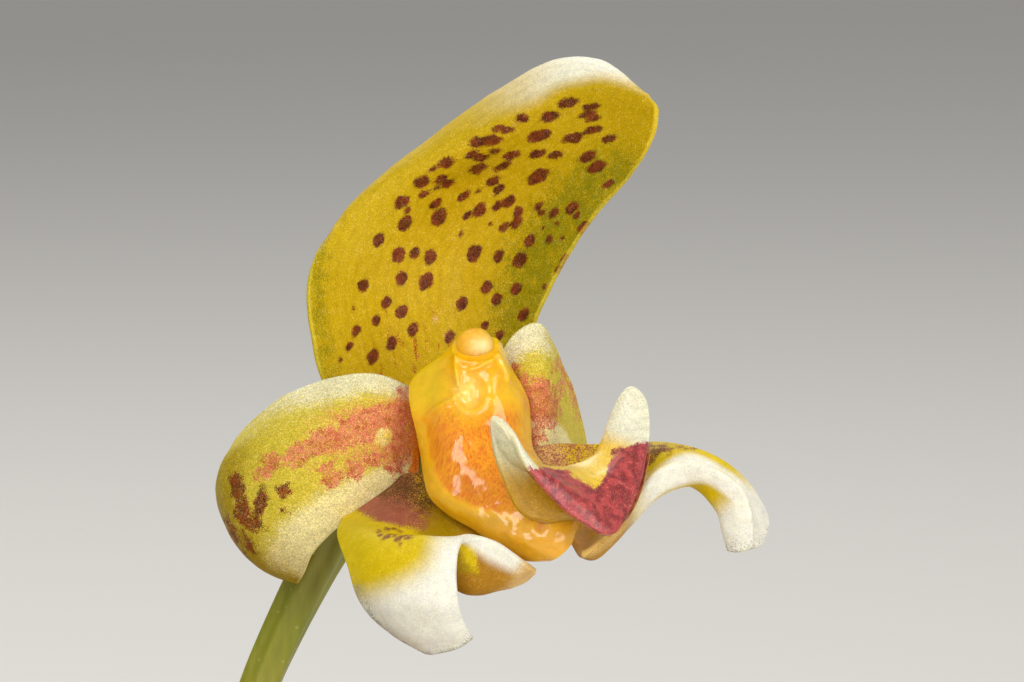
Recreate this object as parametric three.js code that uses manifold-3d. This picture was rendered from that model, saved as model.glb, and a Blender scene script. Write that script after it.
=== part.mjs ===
// A creeping orchid, Bulbophyllum pteroglossum, growing over bark in a plain clay pot, with one flower open.
// Millimetres, +Z up. The origin is the middle of the pot's flat base.

import * as THREE from "three";
import { mergeVertices } from "three/addons/utils/BufferGeometryUtils.js";
import Module from "manifold-3d";

const wasm = await Module();
wasm.setup();

// Driving dimensions
const CLEARANCE = 0.35; // seat gap between pieces that touch
const POT_HEIGHT = 82;
const POT_BASE_RADIUS = 31;
const POT_BODY_RADIUS = 42; // outside, just under the rim
const POT_RIM_RADIUS = 47;
const POT_RIM_HEIGHT = 16;
const POT_WALL = 4.5;
const POT_FLOOR = 6;
const POT_SIDES = 40;
const DRAIN_COUNT = 3;
const DRAIN_RADIUS = 4;
const DRAIN_CIRCLE = 17; // radius on which the drain holes lie
const BARK_LEVEL = 72; // top of the packed bark, under the loose chips
const CHIP_COUNT = 32;
const CHIP_CIRCLE = 35; // radius within which the chips' middles lie
const RHIZOME_RADIUS = 1.6;
const ROOT_RADIUS = 0.6;
const BULB_HEIGHT = 17;
const BULB_RADIUS = 4.2;
const BULB_FOOT_LEVEL = 76; // just inside the top of the rhizome
const LEAF_THICKNESS = 1.1;
const PETIOLE_THICKNESS = 2.2;
const SCAPE_RADIUS = 1.0;
const OVARY_RADIUS = 1.6; // where it meets the column and the tepals
const TEPAL_THICKNESS = 0.7;
const LIP_KEEL = 1.3; // extra thickness in the middle of the lip near its claw
const FLOWER_AT = new THREE.Vector3(45, -8, 116); // where ovary, column and tepals meet
const FLOWER_NOD = THREE.MathUtils.degToRad(8); // how far the flower looks upward

const materials = {
  clay: new THREE.MeshStandardMaterial({ color: 0xb5623c, roughness: 0.85, metalness: 0 }),
  bark: new THREE.MeshStandardMaterial({ color: 0x6b4228, roughness: 0.95, metalness: 0 }),
  stem: new THREE.MeshStandardMaterial({ color: 0x7d8434, roughness: 0.6, metalness: 0 }),
  bulb: new THREE.MeshStandardMaterial({ color: 0x7f9440, roughness: 0.5, metalness: 0 }),
  leaf: new THREE.MeshStandardMaterial({ color: 0x3f6b2a, roughness: 0.45, metalness: 0 }),
  sepal: new THREE.MeshStandardMaterial({ color: 0xb0a024, roughness: 0.45, metalness: 0 }),
  petal: new THREE.MeshStandardMaterial({ color: 0xd8cd86, roughness: 0.4, metalness: 0 }),
  lateral: new THREE.MeshStandardMaterial({ color: 0xe2dcb4, roughness: 0.4, metalness: 0 }),
  column: new THREE.MeshStandardMaterial({ color: 0xe09a18, roughness: 0.25, metalness: 0 }),
  anther: new THREE.MeshStandardMaterial({ color: 0xeeb848, roughness: 0.3, metalness: 0 }),
  lip: new THREE.MeshStandardMaterial({ color: 0x9c2f3c, roughness: 0.35, metalness: 0 }),
};

// Control nets of the flower, in its own frame: X to the right, Y away from the viewer, Z up.
// A net's rows run from the base to the tip, and each row crosses the blade from margin to margin.
const DORSAL_SEPAL = [
  [[-1.3, 1.2, 0.4], [-0.8, 1.4, 0.5], [-0.2, 1.6, 0.6], [0.5, 1.7, 0.6], [1.3, 1.6, 0.6], [2, 1.4, 0.7]],
  [[-5.6, 0.5, 0.9], [-4.4, 1.3, 1.3], [-2.4, 2.6, 1.8], [-0.2, 3.2, 2.4], [1.8, 2.8, 2.8], [3.6, 2, 3]],
  [[-7, 0.1, 4.6], [-5.7, 1.4, 5], [-3.2, 3.4, 5.4], [-0.4, 4.4, 5.8], [2.3, 3.4, 5.8], [4.5, 1.5, 5.4]],
  [[-6.9, 1.2, 7.9], [-5.8, 2, 8.4], [-3, 3.6, 8.8], [0.2, 4.8, 9], [3.3, 3.4, 8.8], [5.9, 0.6, 8.2]],
  [
    [-4.9, 4.4, 10], [-4.7, 3.2, 10.9], [-1.9, 3, 11.7],
    [1.5, 3.9, 11.8], [4.9, 2.2, 11.3], [7.5, -0.6, 10.5],
  ],
  [[-0.6, 5.1, 13.5], [-0.9, 3.6, 14.1], [0.9, 2.2, 13.9], [3.8, 2, 13.7], [6.6, 0.4, 13], [9.1, -2, 12.3]],
  [
    [4.4, 4, 16.8], [4.4, 2.4, 17.6], [5.2, 0.6, 16.4],
    [6.8, -0.4, 15.8], [8.6, -1.8, 14.9], [10.1, -3.4, 14],
  ],
  [
    [7.3, 1.8, 17.8], [7.5, 0.2, 17.8], [8.1, -1.4, 16.9],
    [8.9, -2.4, 16.3], [9.7, -3.2, 15.7], [10.3, -3.9, 15.2],
  ],
  [
    [9.4, -2.6, 16.3], [9.6, -2.9, 16.15], [9.8, -3.1, 16.05],
    [10, -3.4, 15.95], [10.15, -3.6, 15.8], [10.25, -3.8, 15.6],
  ],
];
const LEFT_PETAL = [
  [[-1.9, 0.2, 1.6], [-1.7, 0, 0.6], [-1.6, -0.1, -0.5], [-1.6, -0.1, -1.6], [-1.6, -0.2, -2.6]],
  [[-3.8, -0.8, 2.3], [-3.6, -1.5, 1.2], [-3.4, -1.8, -0.6], [-3.2, -1.7, -2.4], [-2.9, -1.3, -3.6]],
  [[-6.2, -0.8, 2], [-6.1, -2, 0.7], [-5.9, -2.8, -1.2], [-5.6, -2.8, -3.4], [-5.2, -2.2, -5]],
  [[-8.6, 0, 0.9], [-8.5, -1.6, -0.3], [-8.1, -2.6, -2.4], [-7.5, -2.8, -4.8], [-6.7, -2.2, -6.5]],
  [[-10.6, 1.2, -0.9], [-10.9, -0.2, -2.1], [-10.3, -1.2, -4.2], [-8.9, -1.6, -6.3], [-7.2, -1, -7.5]],
  [[-11.2, 2.8, -2.6], [-11.6, 1.6, -3.6], [-10.9, 0.8, -5.7], [-9.4, 0.4, -7.3], [-7.5, 0.6, -8]],
  [[-10.7, 4.6, -4.3], [-10.9, 3.8, -5.1], [-10.1, 3.2, -6.4], [-8.9, 2.8, -7.5], [-7.7, 2.6, -8.1]],
  [[-9.6, 5.8, -5.8], [-9.4, 5.7, -6.1], [-9.1, 5.4, -6.6], [-8.8, 5.2, -7], [-8.4, 5, -7.3]],
];
const RIGHT_PETAL = [
  [[2.3, 0.5, 3], [2.7, 0.6, 1.8], [3, 0.8, 0.6], [3.3, 0.8, -0.4], [3.5, 0.7, -1.3]],
  [[3.3, 0.2, 4.4], [3.5, 0, 3.1], [3.7, -0.1, 1.6], [3.9, -0.1, 0], [4, -0.1, -1.4]],
  [[4.5, 0.6, 4.8], [4.6, 0.2, 3.3], [4.7, 0, 1.6], [4.8, 0, 0], [4.8, 0, -1.5]],
  [[5.4, 2.4, 3.1], [5.5, 2.1, 1.8], [5.5, 1.9, 0.6], [5.6, 1.8, -0.7], [5.6, 1.8, -1.9]],
  [[6.2, 4.4, 1.1], [6.2, 4.2, 0.1], [6.2, 4.1, -0.8], [6.2, 4, -1.8], [6.1, 3.9, -2.8]],
  [[6.7, 6.2, -0.8], [6.7, 6.2, -1.5], [6.7, 6.2, -2.2], [6.6, 6.1, -3], [6.5, 6, -3.8]],
  [[6.8, 7.8, -2.9], [6.8, 7.8, -3.3], [6.7, 7.8, -3.7], [6.6, 7.8, -4.1], [6.5, 7.8, -4.5]],
];
const LEFT_LATERAL_SEPAL = [
  [[-1.5, -1.1, -3.3], [-0.5, -2.3, -4.7], [0.9, -3.8, -6.1], [2.6, -5.2, -7.2], [4.2, -6.1, -7.3]],
  [[-2, -2.1, -3.4], [-1.4, -3.5, -5], [0.2, -5.4, -6.9], [2.2, -6.7, -7.7], [3.4, -7.6, -7]],
  [[-3.1, -3.4, -4.1], [-2.5, -5, -5.2], [-0.9, -6.8, -6.8], [1, -7.9, -7.4], [2.2, -8.3, -5.9]],
  [[-4.4, -5, -5.1], [-3.3, -6.4, -5.5], [-1.8, -7.8, -6.1], [-0.2, -8.6, -6.3], [1.2, -8.8, -5.7]],
  [[-5.1, -6.2, -5.9], [-3.8, -7.6, -5.8], [-2.2, -8.7, -5.8], [-0.6, -9.4, -5.8], [0.6, -9.5, -6]],
  [[-4.9, -7.2, -7.2], [-3.6, -8.8, -7], [-2.2, -9.7, -7], [-0.8, -10.1, -7], [0.4, -10, -7.2]],
  [[-4.2, -7.6, -8.9], [-3.1, -9.2, -8.8], [-1.8, -10, -8.7], [-0.5, -10.3, -8.7], [0.5, -10, -8.7]],
  [[-2.8, -7.6, -10.3], [-2, -8.8, -10.3], [-1.1, -9.4, -10.1], [0, -9.6, -9.9], [0.8, -9.2, -9.8]],
  [[-1, -7.6, -11.3], [-0.6, -8, -11.3], [-0.1, -8.2, -11.2], [0.5, -8.4, -10.9], [0.9, -8.5, -10.5]],
];
const RIGHT_LATERAL_SEPAL = [
  [[4.4, -0.9, -2.2], [5, -1.9, -3.6], [5.6, -3.2, -5], [6.2, -4.6, -6.3], [6.6, -5.7, -6.7]],
  [[5.5, -0.9, -1.7], [5.9, -1.5, -3.4], [6.6, -3, -5.4], [7.2, -4.8, -6.6], [7.3, -5.8, -6.1]],
  [[7.2, -0.5, -1.2], [7.7, -1.2, -2.8], [8.3, -2.6, -4.6], [8.6, -4.4, -5.3], [8.7, -5.2, -4.7]],
  [[9.2, -0.2, -1.2], [9.3, -1.2, -1.9], [9.7, -2.4, -3.4], [10, -3.9, -3.8], [9.9, -4.4, -2.7]],
  [[11.1, -0.3, -1.3], [11.1, -1.2, -1.7], [11.3, -2.3, -2.8], [11.4, -3.5, -3.1], [11.4, -4, -2]],
  [[13.1, -0.8, -1.8], [12.7, -1.6, -2.3], [12.5, -2.8, -3.4], [12.8, -3.8, -3], [12.9, -4.2, -2.2]],
  [[14.8, -1.2, -3.1], [14.2, -2.2, -3.5], [13.4, -3.2, -4.4], [13.9, -3.9, -3.9], [14.4, -4.2, -3.2]],
  [[15.8, -1.6, -4.8], [15, -2.6, -4.9], [13.7, -3.2, -5.4], [14.3, -3.8, -5.1], [15, -4, -4.6]],
  [[15.5, -2, -6.2], [15, -2.6, -6.4], [14, -3, -6.5], [14.5, -3.4, -6.5], [15.1, -3.4, -6.2]],
];
const LIP = [
  [[5.6, -6.6, -5.2], [5.8, -6.4, -5.1], [6.1, -6.1, -5.0], [6.4, -5.8, -5.1], [6.6, -5.6, -5.2]],
  [[4.9, -6.9, -4.4], [5.2, -6.5, -4.2], [5.7, -6.0, -4.1], [6.2, -5.4, -4.1], [6.6, -5.1, -4.2]],
  [[4.2, -7.6, -2.9], [4.8, -7.0, -2.9], [5.8, -5.9, -2.8], [6.9, -4.7, -2.4], [7.5, -4.2, -1.9]],
  [[3.1, -8.3, -0.8], [4.0, -7.6, -2.3], [6.1, -6.0, -2.6], [7.8, -4.6, -1.5], [8.3, -3.6, 0.7]],
  [[2.4, -8.9, 0.2], [3.6, -8.3, -2.1], [6.6, -6.5, -2.7], [8.5, -4.7, -1.3], [9.0, -3.5, 1.7]],
  [[2.2, -9.2, -0.5], [3.5, -8.9, -2.4], [7.1, -7.2, -3.2], [9.2, -5.0, -1.4], [9.8, -3.8, 0.9]],
  [[3.6, -9.3, -2.6], [4.8, -9.2, -3.3], [7.5, -7.9, -4.2], [9.4, -5.7, -2.6], [9.8, -4.8, -1.2]],
  [[5.6, -9.1, -4.3], [6.4, -8.9, -4.7], [7.8, -8.2, -5.1], [8.8, -7.0, -4.3], [9.3, -6.3, -3.4]],
  [[7.4, -8.6, -5.5], [7.6, -8.5, -5.55], [7.8, -8.3, -5.6], [8.0, -8.1, -5.55], [8.2, -7.9, -5.45]],
];
// The column and its foot, top to hinge: middle of each cross-section, half its width and half its depth.
const COLUMN = [
  { at: [1.25, -1.5, 3.5], width: 0.9, depth: 0.9 },
  { at: [1.1, -1.7, 3.0], width: 1.9, depth: 1.2 },
  { at: [0.9, -1.8, 2.0], width: 2.9, depth: 1.5 },
  { at: [1.1, -2.0, 0.2], width: 3.1, depth: 1.7 },
  { at: [1.25, -2.5, -1.4], width: 2.9, depth: 1.8 },
  { at: [1.5, -3.3, -2.8], width: 2.9, depth: 1.7 },
  { at: [2.5, -4.2, -4.1], width: 2.5, depth: 1.6 },
  { at: [3.8, -5.0, -5.2], width: 2.0, depth: 1.4 },
  { at: [5.0, -5.7, -6.0], width: 1.4, depth: 1.1 },
  { at: [5.6, -6.0, -6.4], width: 0.7, depth: 0.7 },
];
const COLUMN_SIDE = new THREE.Vector3(0.9, 0.43, 0).normalize(); // from the flower's left to its right
const ANTHER_CAP = { at: [1.25, -1.9, 3.75], radius: 0.9 };
// The stalk in the flower's frame, from the rhizome up, and the ovary that follows it.
const SCAPE_PATH = [[-16, 6, -41], [-15.4, 6, -36], [-14, 6, -28], [-12, 6, -20], [-10.4, 6, -15.4]];
const OVARY_PATH = [
  [-10.2, 6, -14.9], [-8.6, 5.9, -12], [-5.75, 5.2, -6.9], [-3.3, 4, -3.6], [0.9, -0.4, -1.3],
];

// The creeping rhizome and its branch, laid over the bark in the pot's frame.
const RHIZOME_PATH = [
  [-34, 6, 73.5], [-28, 12, 75], [-17, 19, 75.5], [-4, 17, 75],
  [8, 9, 75.5], [19, -1, 75], [27, -6.5, 74.5], [31, -9, 74],
];
const BRANCH_PATH = [
  [-4, 17, 75], [-7, 7, 75.2], [-10, -6, 75.5], [-9, -18, 75], [-2, -28, 75], [6, -32, 74.5],
];
// Each shoot: its foot on the rhizome, the pseudobulb's lean (compass degrees from +X, then degrees off
// upright) and size, and its leaf's heading, rise at the base, droop over its length, all in degrees,
// length, width and twist in degrees.
const SHOOTS = [
  { foot: [-28, 12], lean: [160, 20], scale: 0.95, leaf: [172, 48, 62, 62, 18, 10] },
  { foot: [-17, 19], lean: [120, 14], scale: 1.05, leaf: [118, 66, 50, 70, 19, -12] },
  { foot: [-4, 17], lean: [85, 8], scale: 1, leaf: [98, 80, 34, 68, 20, 16] },
  { foot: [8, 9], lean: [150, 10], scale: 0.9, leaf: [128, 84, 26, 60, 17, 40] },
  { foot: [-10, -6], lean: [200, 10], scale: 1, leaf: [196, 72, 54, 68, 19, -8] },
  { foot: [-9, -18], lean: [235, 16], scale: 1, leaf: [228, 52, 66, 62, 18, 8] },
  { foot: [-2, -28], lean: [280, 20], scale: 0.85, leaf: [292, 40, 70, 54, 17, -6] },
];
// Roots leave the rhizome at a share of its length, head off by a compass degree and dive into the bark.
const ROOTS = [
  { branch: false, along: 0.08, heading: 250, reach: 11 },
  { branch: false, along: 0.2, heading: 95, reach: 12 },
  { branch: false, along: 0.35, heading: 75, reach: 10 },
  { branch: false, along: 0.5, heading: 40, reach: 12 },
  { branch: false, along: 0.66, heading: 35, reach: 12 },
  { branch: false, along: 0.78, heading: 235, reach: 13 },
  { branch: false, along: 0.9, heading: 30, reach: 9 },
  { branch: true, along: 0.3, heading: 0, reach: 12 },
  { branch: true, along: 0.55, heading: 10, reach: 12 },
  { branch: true, along: 0.8, heading: 165, reach: 12 },
];

const point = ([x, y, z]) => new THREE.Vector3(x, y, z);
const through = (points) => new THREE.CatmullRomCurve3(points, false, "catmullrom", 0.5);
const radians = THREE.MathUtils.degToRad;
const UP = new THREE.Vector3(0, 0, 1);

// A random number source that gives the same numbers on every run.
function seeded(seed) {
  let state = seed;
  return () => {
    state = (state * 1664525 + 1013904223) % 4294967296;
    return state / 4294967296;
  };
}

// The surface of a control net: rails run through the columns, and a cross curve runs through the rails.
function netSurface(rows) {
  const rails = rows[0].map((_, column) => through(rows.map((row) => point(row[column]))));
  return (u, v) => through(rails.map((rail) => rail.getPoint(u))).getPoint(v);
}

// A closed blade: its middle surface moved half the thickness to each side, with a wall round the margin.
function blade(rows, along, across, thickness) {
  const surface = netSurface(rows);
  const step = 0.01;
  const sides = [[], []];
  for (let i = 0; i <= along; i++) {
    for (let j = 0; j <= across; j++) {
      const u = i / along;
      const v = j / across;
      const low = [Math.max(u - step, 0), Math.max(v - step, 0)];
      const high = [Math.min(u + step, 1), Math.min(v + step, 1)];
      const lengthwise = surface(high[0], v).sub(surface(low[0], v));
      const crosswise = surface(u, high[1]).sub(surface(u, low[1]));
      const half = crosswise.cross(lengthwise).normalize().multiplyScalar(thickness(u, v) / 2);
      const middle = surface(u, v);
      sides[0].push(middle.clone().add(half));
      sides[1].push(middle.clone().sub(half));
    }
  }
  const row = across + 1;
  const behind = sides[0].length;
  const index = [];
  const quad = (a, b, c, d) => index.push(a, b, c, a, c, d);
  for (let i = 0; i < along; i++) {
    for (let j = 0; j < across; j++) {
      const a = i * row + j;
      quad(a, a + 1, a + row + 1, a + row);
      index.push(behind + a, behind + a + row + 1, behind + a + 1);
      index.push(behind + a, behind + a + row, behind + a + row + 1);
    }
  }
  const margin = [];
  for (let j = 0; j < across; j++) margin.push(j);
  for (let i = 0; i < along; i++) margin.push(i * row + across);
  for (let j = across; j > 0; j--) margin.push(along * row + j);
  for (let i = along; i > 0; i--) margin.push(i * row);
  margin.forEach((a, k) => {
    const b = margin[(k + 1) % margin.length];
    quad(a, a + behind, b + behind, b);
  });
  return geometry(sides.flat(), index);
}

// A closed body through rings of points, each ring counter-clockwise about the way the rings run.
function loft(rings) {
  const sides = rings[0].length;
  const points = rings.flat();
  const index = [];
  for (let i = 0; i + 1 < rings.length; i++) {
    for (let j = 0; j < sides; j++) {
      const a = i * sides + j;
      const b = i * sides + ((j + 1) % sides);
      index.push(a, b, b + sides, a, b + sides, a + sides);
    }
  }
  [0, rings.length - 1].forEach((end) => {
    const middle = points.length;
    points.push(rings[end].reduce((sum, p) => sum.add(p), new THREE.Vector3()).divideScalar(sides));
    for (let j = 0; j < sides; j++) {
      const a = end * sides + j;
      const b = end * sides + ((j + 1) % sides);
      index.push(...(end ? [middle, a, b] : [middle, b, a]));
    }
  });
  return geometry(points, index);
}

// A stalk along a curve, whose radius is a function of the share of its length and of the angle round it.
// Its ends run on by beyond, which a bed needs to clear the ends of what lies in it.
function stalk(curve, steps, sides, radius, beyond = 0) {
  const frames = curve.computeFrenetFrames(steps, false);
  const rings = frames.tangents.map((tangent, i) => {
    const middle = curve.getPointAt(i / steps).addScaledVector(tangent, endShift(i, steps) * beyond);
    return Array.from({ length: sides }, (_unused, j) => {
      const angle = (j / sides) * 2 * Math.PI;
      const r = radius(i / steps, angle);
      return middle
        .clone()
        .addScaledVector(frames.normals[i], Math.cos(angle) * r)
        .addScaledVector(frames.binormals[i], Math.sin(angle) * r);
    });
  });
  return loft(rings);
}

// -1 at the first ring, 1 at the last and 0 between them.
function endShift(i, steps) {
  return i === 0 ? -1 : Number(i === steps);
}

function geometry(points, index) {
  return new THREE.BufferGeometry().setFromPoints(points).setIndex(index);
}

function solid(shape) {
  const bare = shape.index ? shape.toNonIndexed() : shape.clone();
  bare.deleteAttribute("normal");
  bare.deleteAttribute("uv");
  const merged = mergeVertices(bare, 1e-4);
  return new wasm.Manifold(
    new wasm.Mesh({
      numProp: 3,
      vertProperties: merged.attributes.position.array,
      triVerts: new Uint32Array(merged.index.array),
    }),
  );
}

// The largest body of a cut or joined solid, which leaves out loose scraps and sealed hollows.
function mainBody(joined) {
  return joined.decompose().reduce((most, body) => (body.volume() > most.volume() ? body : most));
}

function shapeOf(joined) {
  const mesh = mainBody(joined).getMesh();
  const points = [];
  for (let i = 0; i < mesh.numVert; i++) {
    points.push(new THREE.Vector3().fromArray(mesh.vertProperties, i * mesh.numProp));
  }
  return geometry(points, Array.from(mesh.triVerts));
}

function addMesh(parent, name, shape, material) {
  const faceted = shape.index ? shape.toNonIndexed() : shape;
  faceted.computeVertexNormals();
  const mesh = new THREE.Mesh(faceted, material);
  mesh.name = name;
  parent.add(mesh);
}

// The clay pot: a tapered wall, a thicker rim and a flat floor with drain holes off its middle.
function pot() {
  const insideTop = POT_BODY_RADIUS - POT_WALL + 4;
  const insideFloor = POT_BASE_RADIUS - POT_WALL;
  const rimBottom = POT_HEIGHT - POT_RIM_HEIGHT;
  const profile = [
    [0, 0], [POT_BASE_RADIUS - 1, 0], [POT_BASE_RADIUS, 1], [POT_BODY_RADIUS, rimBottom],
    [POT_RIM_RADIUS - 0.8, rimBottom], [POT_RIM_RADIUS - 0.2, rimBottom + 1],
    [POT_RIM_RADIUS, POT_HEIGHT - 1.5], [POT_RIM_RADIUS - 1.2, POT_HEIGHT],
    [insideTop + 1.2, POT_HEIGHT], [insideTop, POT_HEIGHT - 1.5], [insideFloor, POT_FLOOR], [0, POT_FLOOR],
  ];
  const body = new THREE.LatheGeometry(profile.map(([r, z]) => new THREE.Vector2(r, z)), POT_SIDES);
  let clay = solid(body.rotateX(Math.PI / 2));
  for (let i = 0; i < DRAIN_COUNT; i++) {
    const angle = ((i + 0.5) / DRAIN_COUNT) * 2 * Math.PI;
    const hole = new THREE.CylinderGeometry(DRAIN_RADIUS, DRAIN_RADIUS, 4 * POT_FLOOR, 16);
    hole.rotateX(Math.PI / 2);
    hole.translate(Math.cos(angle) * DRAIN_CIRCLE, Math.sin(angle) * DRAIN_CIRCLE, 0);
    clay = clay.subtract(solid(hole));
  }
  return clay;
}

// What fits inside the pot up to a level, clear of its wall and floor.
function insidePot(level) {
  const slope = (POT_BODY_RADIUS + 4 - POT_BASE_RADIUS) / (POT_HEIGHT - 1.5 - POT_FLOOR);
  const inside = (z) => POT_BASE_RADIUS - POT_WALL + slope * (z - POT_FLOOR) - 1.5 * CLEARANCE;
  const bottom = POT_FLOOR + CLEARANCE;
  const profile = [[0, bottom], [inside(bottom), bottom], [inside(level - 2), level - 2], [0, level]];
  const body = new THREE.LatheGeometry(profile.map(([r, z]) => new THREE.Vector2(r, z)), POT_SIDES);
  return solid(body.rotateX(Math.PI / 2));
}

// A bark chip: a box whose corners are pushed about at random.
function chip(random) {
  const size = [12 + 6 * random(), 8 + 4 * random(), 4.5 + 2 * random()];
  const shape = new THREE.BoxGeometry(...size);
  const places = shape.attributes.position;
  const push = () => [0.8 + 0.35 * random(), 0.75 + 0.4 * random(), 0.8 + 0.3 * random()];
  const pushes = Array.from({ length: 8 }, push);
  for (let k = 0; k < places.count; k++) {
    const at = new THREE.Vector3().fromBufferAttribute(places, k);
    const corner = Number(at.x > 0) + 2 * Number(at.y > 0) + 4 * Number(at.z > 0);
    const [sx, sy, sz] = pushes[corner];
    places.setXYZ(k, at.x * sx, at.y * sy, at.z * sz);
  }
  return shape;
}

// Packed bark that fills the pot, with chips lying about its top in a sunflower's order, at seeded turns.
function bark() {
  const random = seeded(7);
  const golden = Math.PI * (3 - Math.sqrt(5));
  let medium = insidePot(BARK_LEVEL);
  for (let i = 0; i < CHIP_COUNT; i++) {
    const shape = chip(random);
    const radius = Math.sqrt((i + 0.5) / CHIP_COUNT) * CHIP_CIRCLE;
    const tilt = [(random() - 0.5) * 0.9, (random() - 0.5) * 0.7];
    const turn = new THREE.Euler(...tilt, random() * 2 * Math.PI, "ZYX");
    const level = BARK_LEVEL + 0.6 * random();
    shape.applyMatrix4(new THREE.Matrix4().makeRotationFromEuler(turn));
    shape.translate(Math.cos(i * golden) * radius, Math.sin(i * golden) * radius, level);
    medium = medium.add(solid(shape));
  }
  return medium.intersect(insidePot(POT_HEIGHT));
}

// The rhizome with its branch and roots. Its bed is a plainer copy of it that is wider by the clearance.
function rhizome(isBed) {
  const main = through(RHIZOME_PATH.map(point));
  const branch = through(BRANCH_PATH.map(point));
  // Scale scars ring the rhizome at every second step.
  const ringed = (steps) => (t) =>
    RHIZOME_RADIUS * (1 + 0.09 * Math.cos(t * steps * Math.PI)) * (0.55 + 0.45 * taper(t, 0.05));
  const cover = (sides) => 1 / Math.cos(Math.PI / sides); // widens a polygon until it clears the circle
  const bedRadius = (RHIZOME_RADIUS * 1.1 + CLEARANCE) * cover(6);
  const rootBedRadius = (ROOT_RADIUS * 1.2 + CLEARANCE) * cover(5);
  const run = (curve, steps) => {
    if (isBed) return solid(stalk(curve, steps / 2, 6, () => bedRadius, CLEARANCE));
    return solid(stalk(curve, steps, 7, ringed(steps)));
  };
  let joined = run(main, 26).add(run(branch, 20));
  ROOTS.forEach(({ branch: onBranch, along, heading, reach }) => {
    const start = (onBranch ? branch : main).getPointAt(along);
    const away = new THREE.Vector3(Math.cos(radians(heading)), Math.sin(radians(heading)), 0);
    const out = (share, rise) => start.clone().addScaledVector(away, reach * share).addScaledVector(UP, rise);
    const path = through([out(-0.03, 0), out(0.45, 0.8), out(0.85, -1.2), out(1, -5)]);
    const thickness = (t) => (isBed ? rootBedRadius : ROOT_RADIUS * (1.2 - 0.4 * t));
    joined = joined.add(solid(stalk(path, 5, 5, thickness, isBed ? CLEARANCE : 0)));
  });
  return joined;
}

// Rises from 0 to 1 over the given share at each end.
function taper(t, share) {
  return Math.min(1, Math.sqrt(Math.max(Math.min(t, 1 - t), 0) / share));
}

// Where a shoot's pseudobulb runs: from its foot on the rhizome up to where the leaf sits.
function bulbAxis({ foot, lean, scale }) {
  const height = BULB_HEIGHT * scale;
  const off = Math.tan(radians(lean[1])) * height;
  const way = new THREE.Vector3(Math.cos(radians(lean[0])), Math.sin(radians(lean[0])), 0);
  const start = new THREE.Vector3(foot[0], foot[1], BULB_FOOT_LEVEL);
  const at = (out, rise) => start.clone().addScaledVector(way, off * out).addScaledVector(UP, height * rise);
  return through([start, at(0.25, 0.35), at(0.6, 0.7), at(1, 1)]);
}

// A ribbed egg-shaped pseudobulb that narrows to a neck under its leaf.
function pseudobulb(shoot, grow) {
  const ribs = 6;
  const girths = [[0, 2.2], [0.1, 3.3], [0.36, BULB_RADIUS], [0.66, 3.4], [0.88, 1.9], [1, 1.5]];
  const outline = through(girths.map(([share, girth]) => point([share, girth, 0])));
  const radius = (t, angle) => {
    const girth = outline.getPoint(t).y * shoot.scale;
    return girth * (1 + 0.05 * Math.cos(ribs * angle) * Math.sin(Math.PI * t)) + grow;
  };
  return solid(stalk(bulbAxis(shoot), 7, 12, radius, grow));
}

// A leathery strap leaf on a short stalk: channelled, arching over, with a blunt notched tip.
function leaf(shoot) {
  const [heading, rise, droop, length, width, twist] = shoot.leaf;
  const shares = [0, 0.05, 0.12, 0.22, 0.4, 0.6, 0.8, 0.93, 1];
  const breadths = [0.11, 0.11, 0.16, 0.55, 0.9, 1, 0.86, 0.55, 0.2];
  const start = bulbAxis(shoot).getPoint(1).addScaledVector(UP, -0.8);
  const way = new THREE.Vector3(Math.cos(radians(heading)), Math.sin(radians(heading)), 0);
  const level = new THREE.Vector3(-way.y, way.x, 0);
  let reached = 0;
  const middle = start.clone();
  const rows = shares.map((share, i) => {
    const angle = radians(rise - droop * share ** 1.2);
    const ahead = way.clone().multiplyScalar(Math.cos(angle)).setZ(Math.sin(angle));
    middle.addScaledVector(ahead, (share - reached) * length);
    reached = share;
    const side = level.clone().applyAxisAngle(ahead, radians(twist) * share);
    const lift = new THREE.Vector3().crossVectors(ahead, side);
    const half = (breadths[i] * width) / 2;
    return [-1, -0.5, 0, 0.5, 1].map((s) => {
      const edge = middle.clone().addScaledVector(side, s * half);
      edge.addScaledVector(lift, Math.abs(s) ** 1.4 * half * 0.3);
      if (share === 1) edge.addScaledVector(ahead, Math.abs(s) === 0.5 ? 0.9 : 0);
      return edge.toArray();
    });
  });
  const thickness = (u) => LEAF_THICKNESS + (PETIOLE_THICKNESS - LEAF_THICKNESS) * Math.max(0, 1 - u * 4.5);
  return solid(blade(rows, 12, 4, thickness)).subtract(pseudobulb(shoot, CLEARANCE));
}

// The flower stalk with two sheathing scales low down and the cup of the flower's bract at its top.
function scape(grow) {
  const curve = through(SCAPE_PATH.map((p) => point(p).applyMatrix4(flower.matrix)));
  const sheaths = [{ at: 0.08, long: 0.16 }, { at: 0.3, long: 0.16 }, { at: 0.9, long: 0.1 }];
  const flare = (t, { at, long }) => (t >= at && t <= at + long ? 0.6 + 0.5 * ((t - at) / long) : 0);
  const radius = (t) => SCAPE_RADIUS + Math.max(...sheaths.map((sheath) => flare(t, sheath))) + grow;
  return solid(stalk(curve, 26, 8, radius, grow));
}

// The stalked ovary, six-grooved and thicker toward the flower.
function ovary(grow) {
  const curve = through(OVARY_PATH.map(point));
  const girth = (t) => SCAPE_RADIUS + (OVARY_RADIUS - SCAPE_RADIUS) * t ** 2;
  return solid(stalk(curve, 12, 12, (t, angle) => girth(t) + 0.06 * Math.cos(6 * angle) + grow, grow));
}

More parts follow.
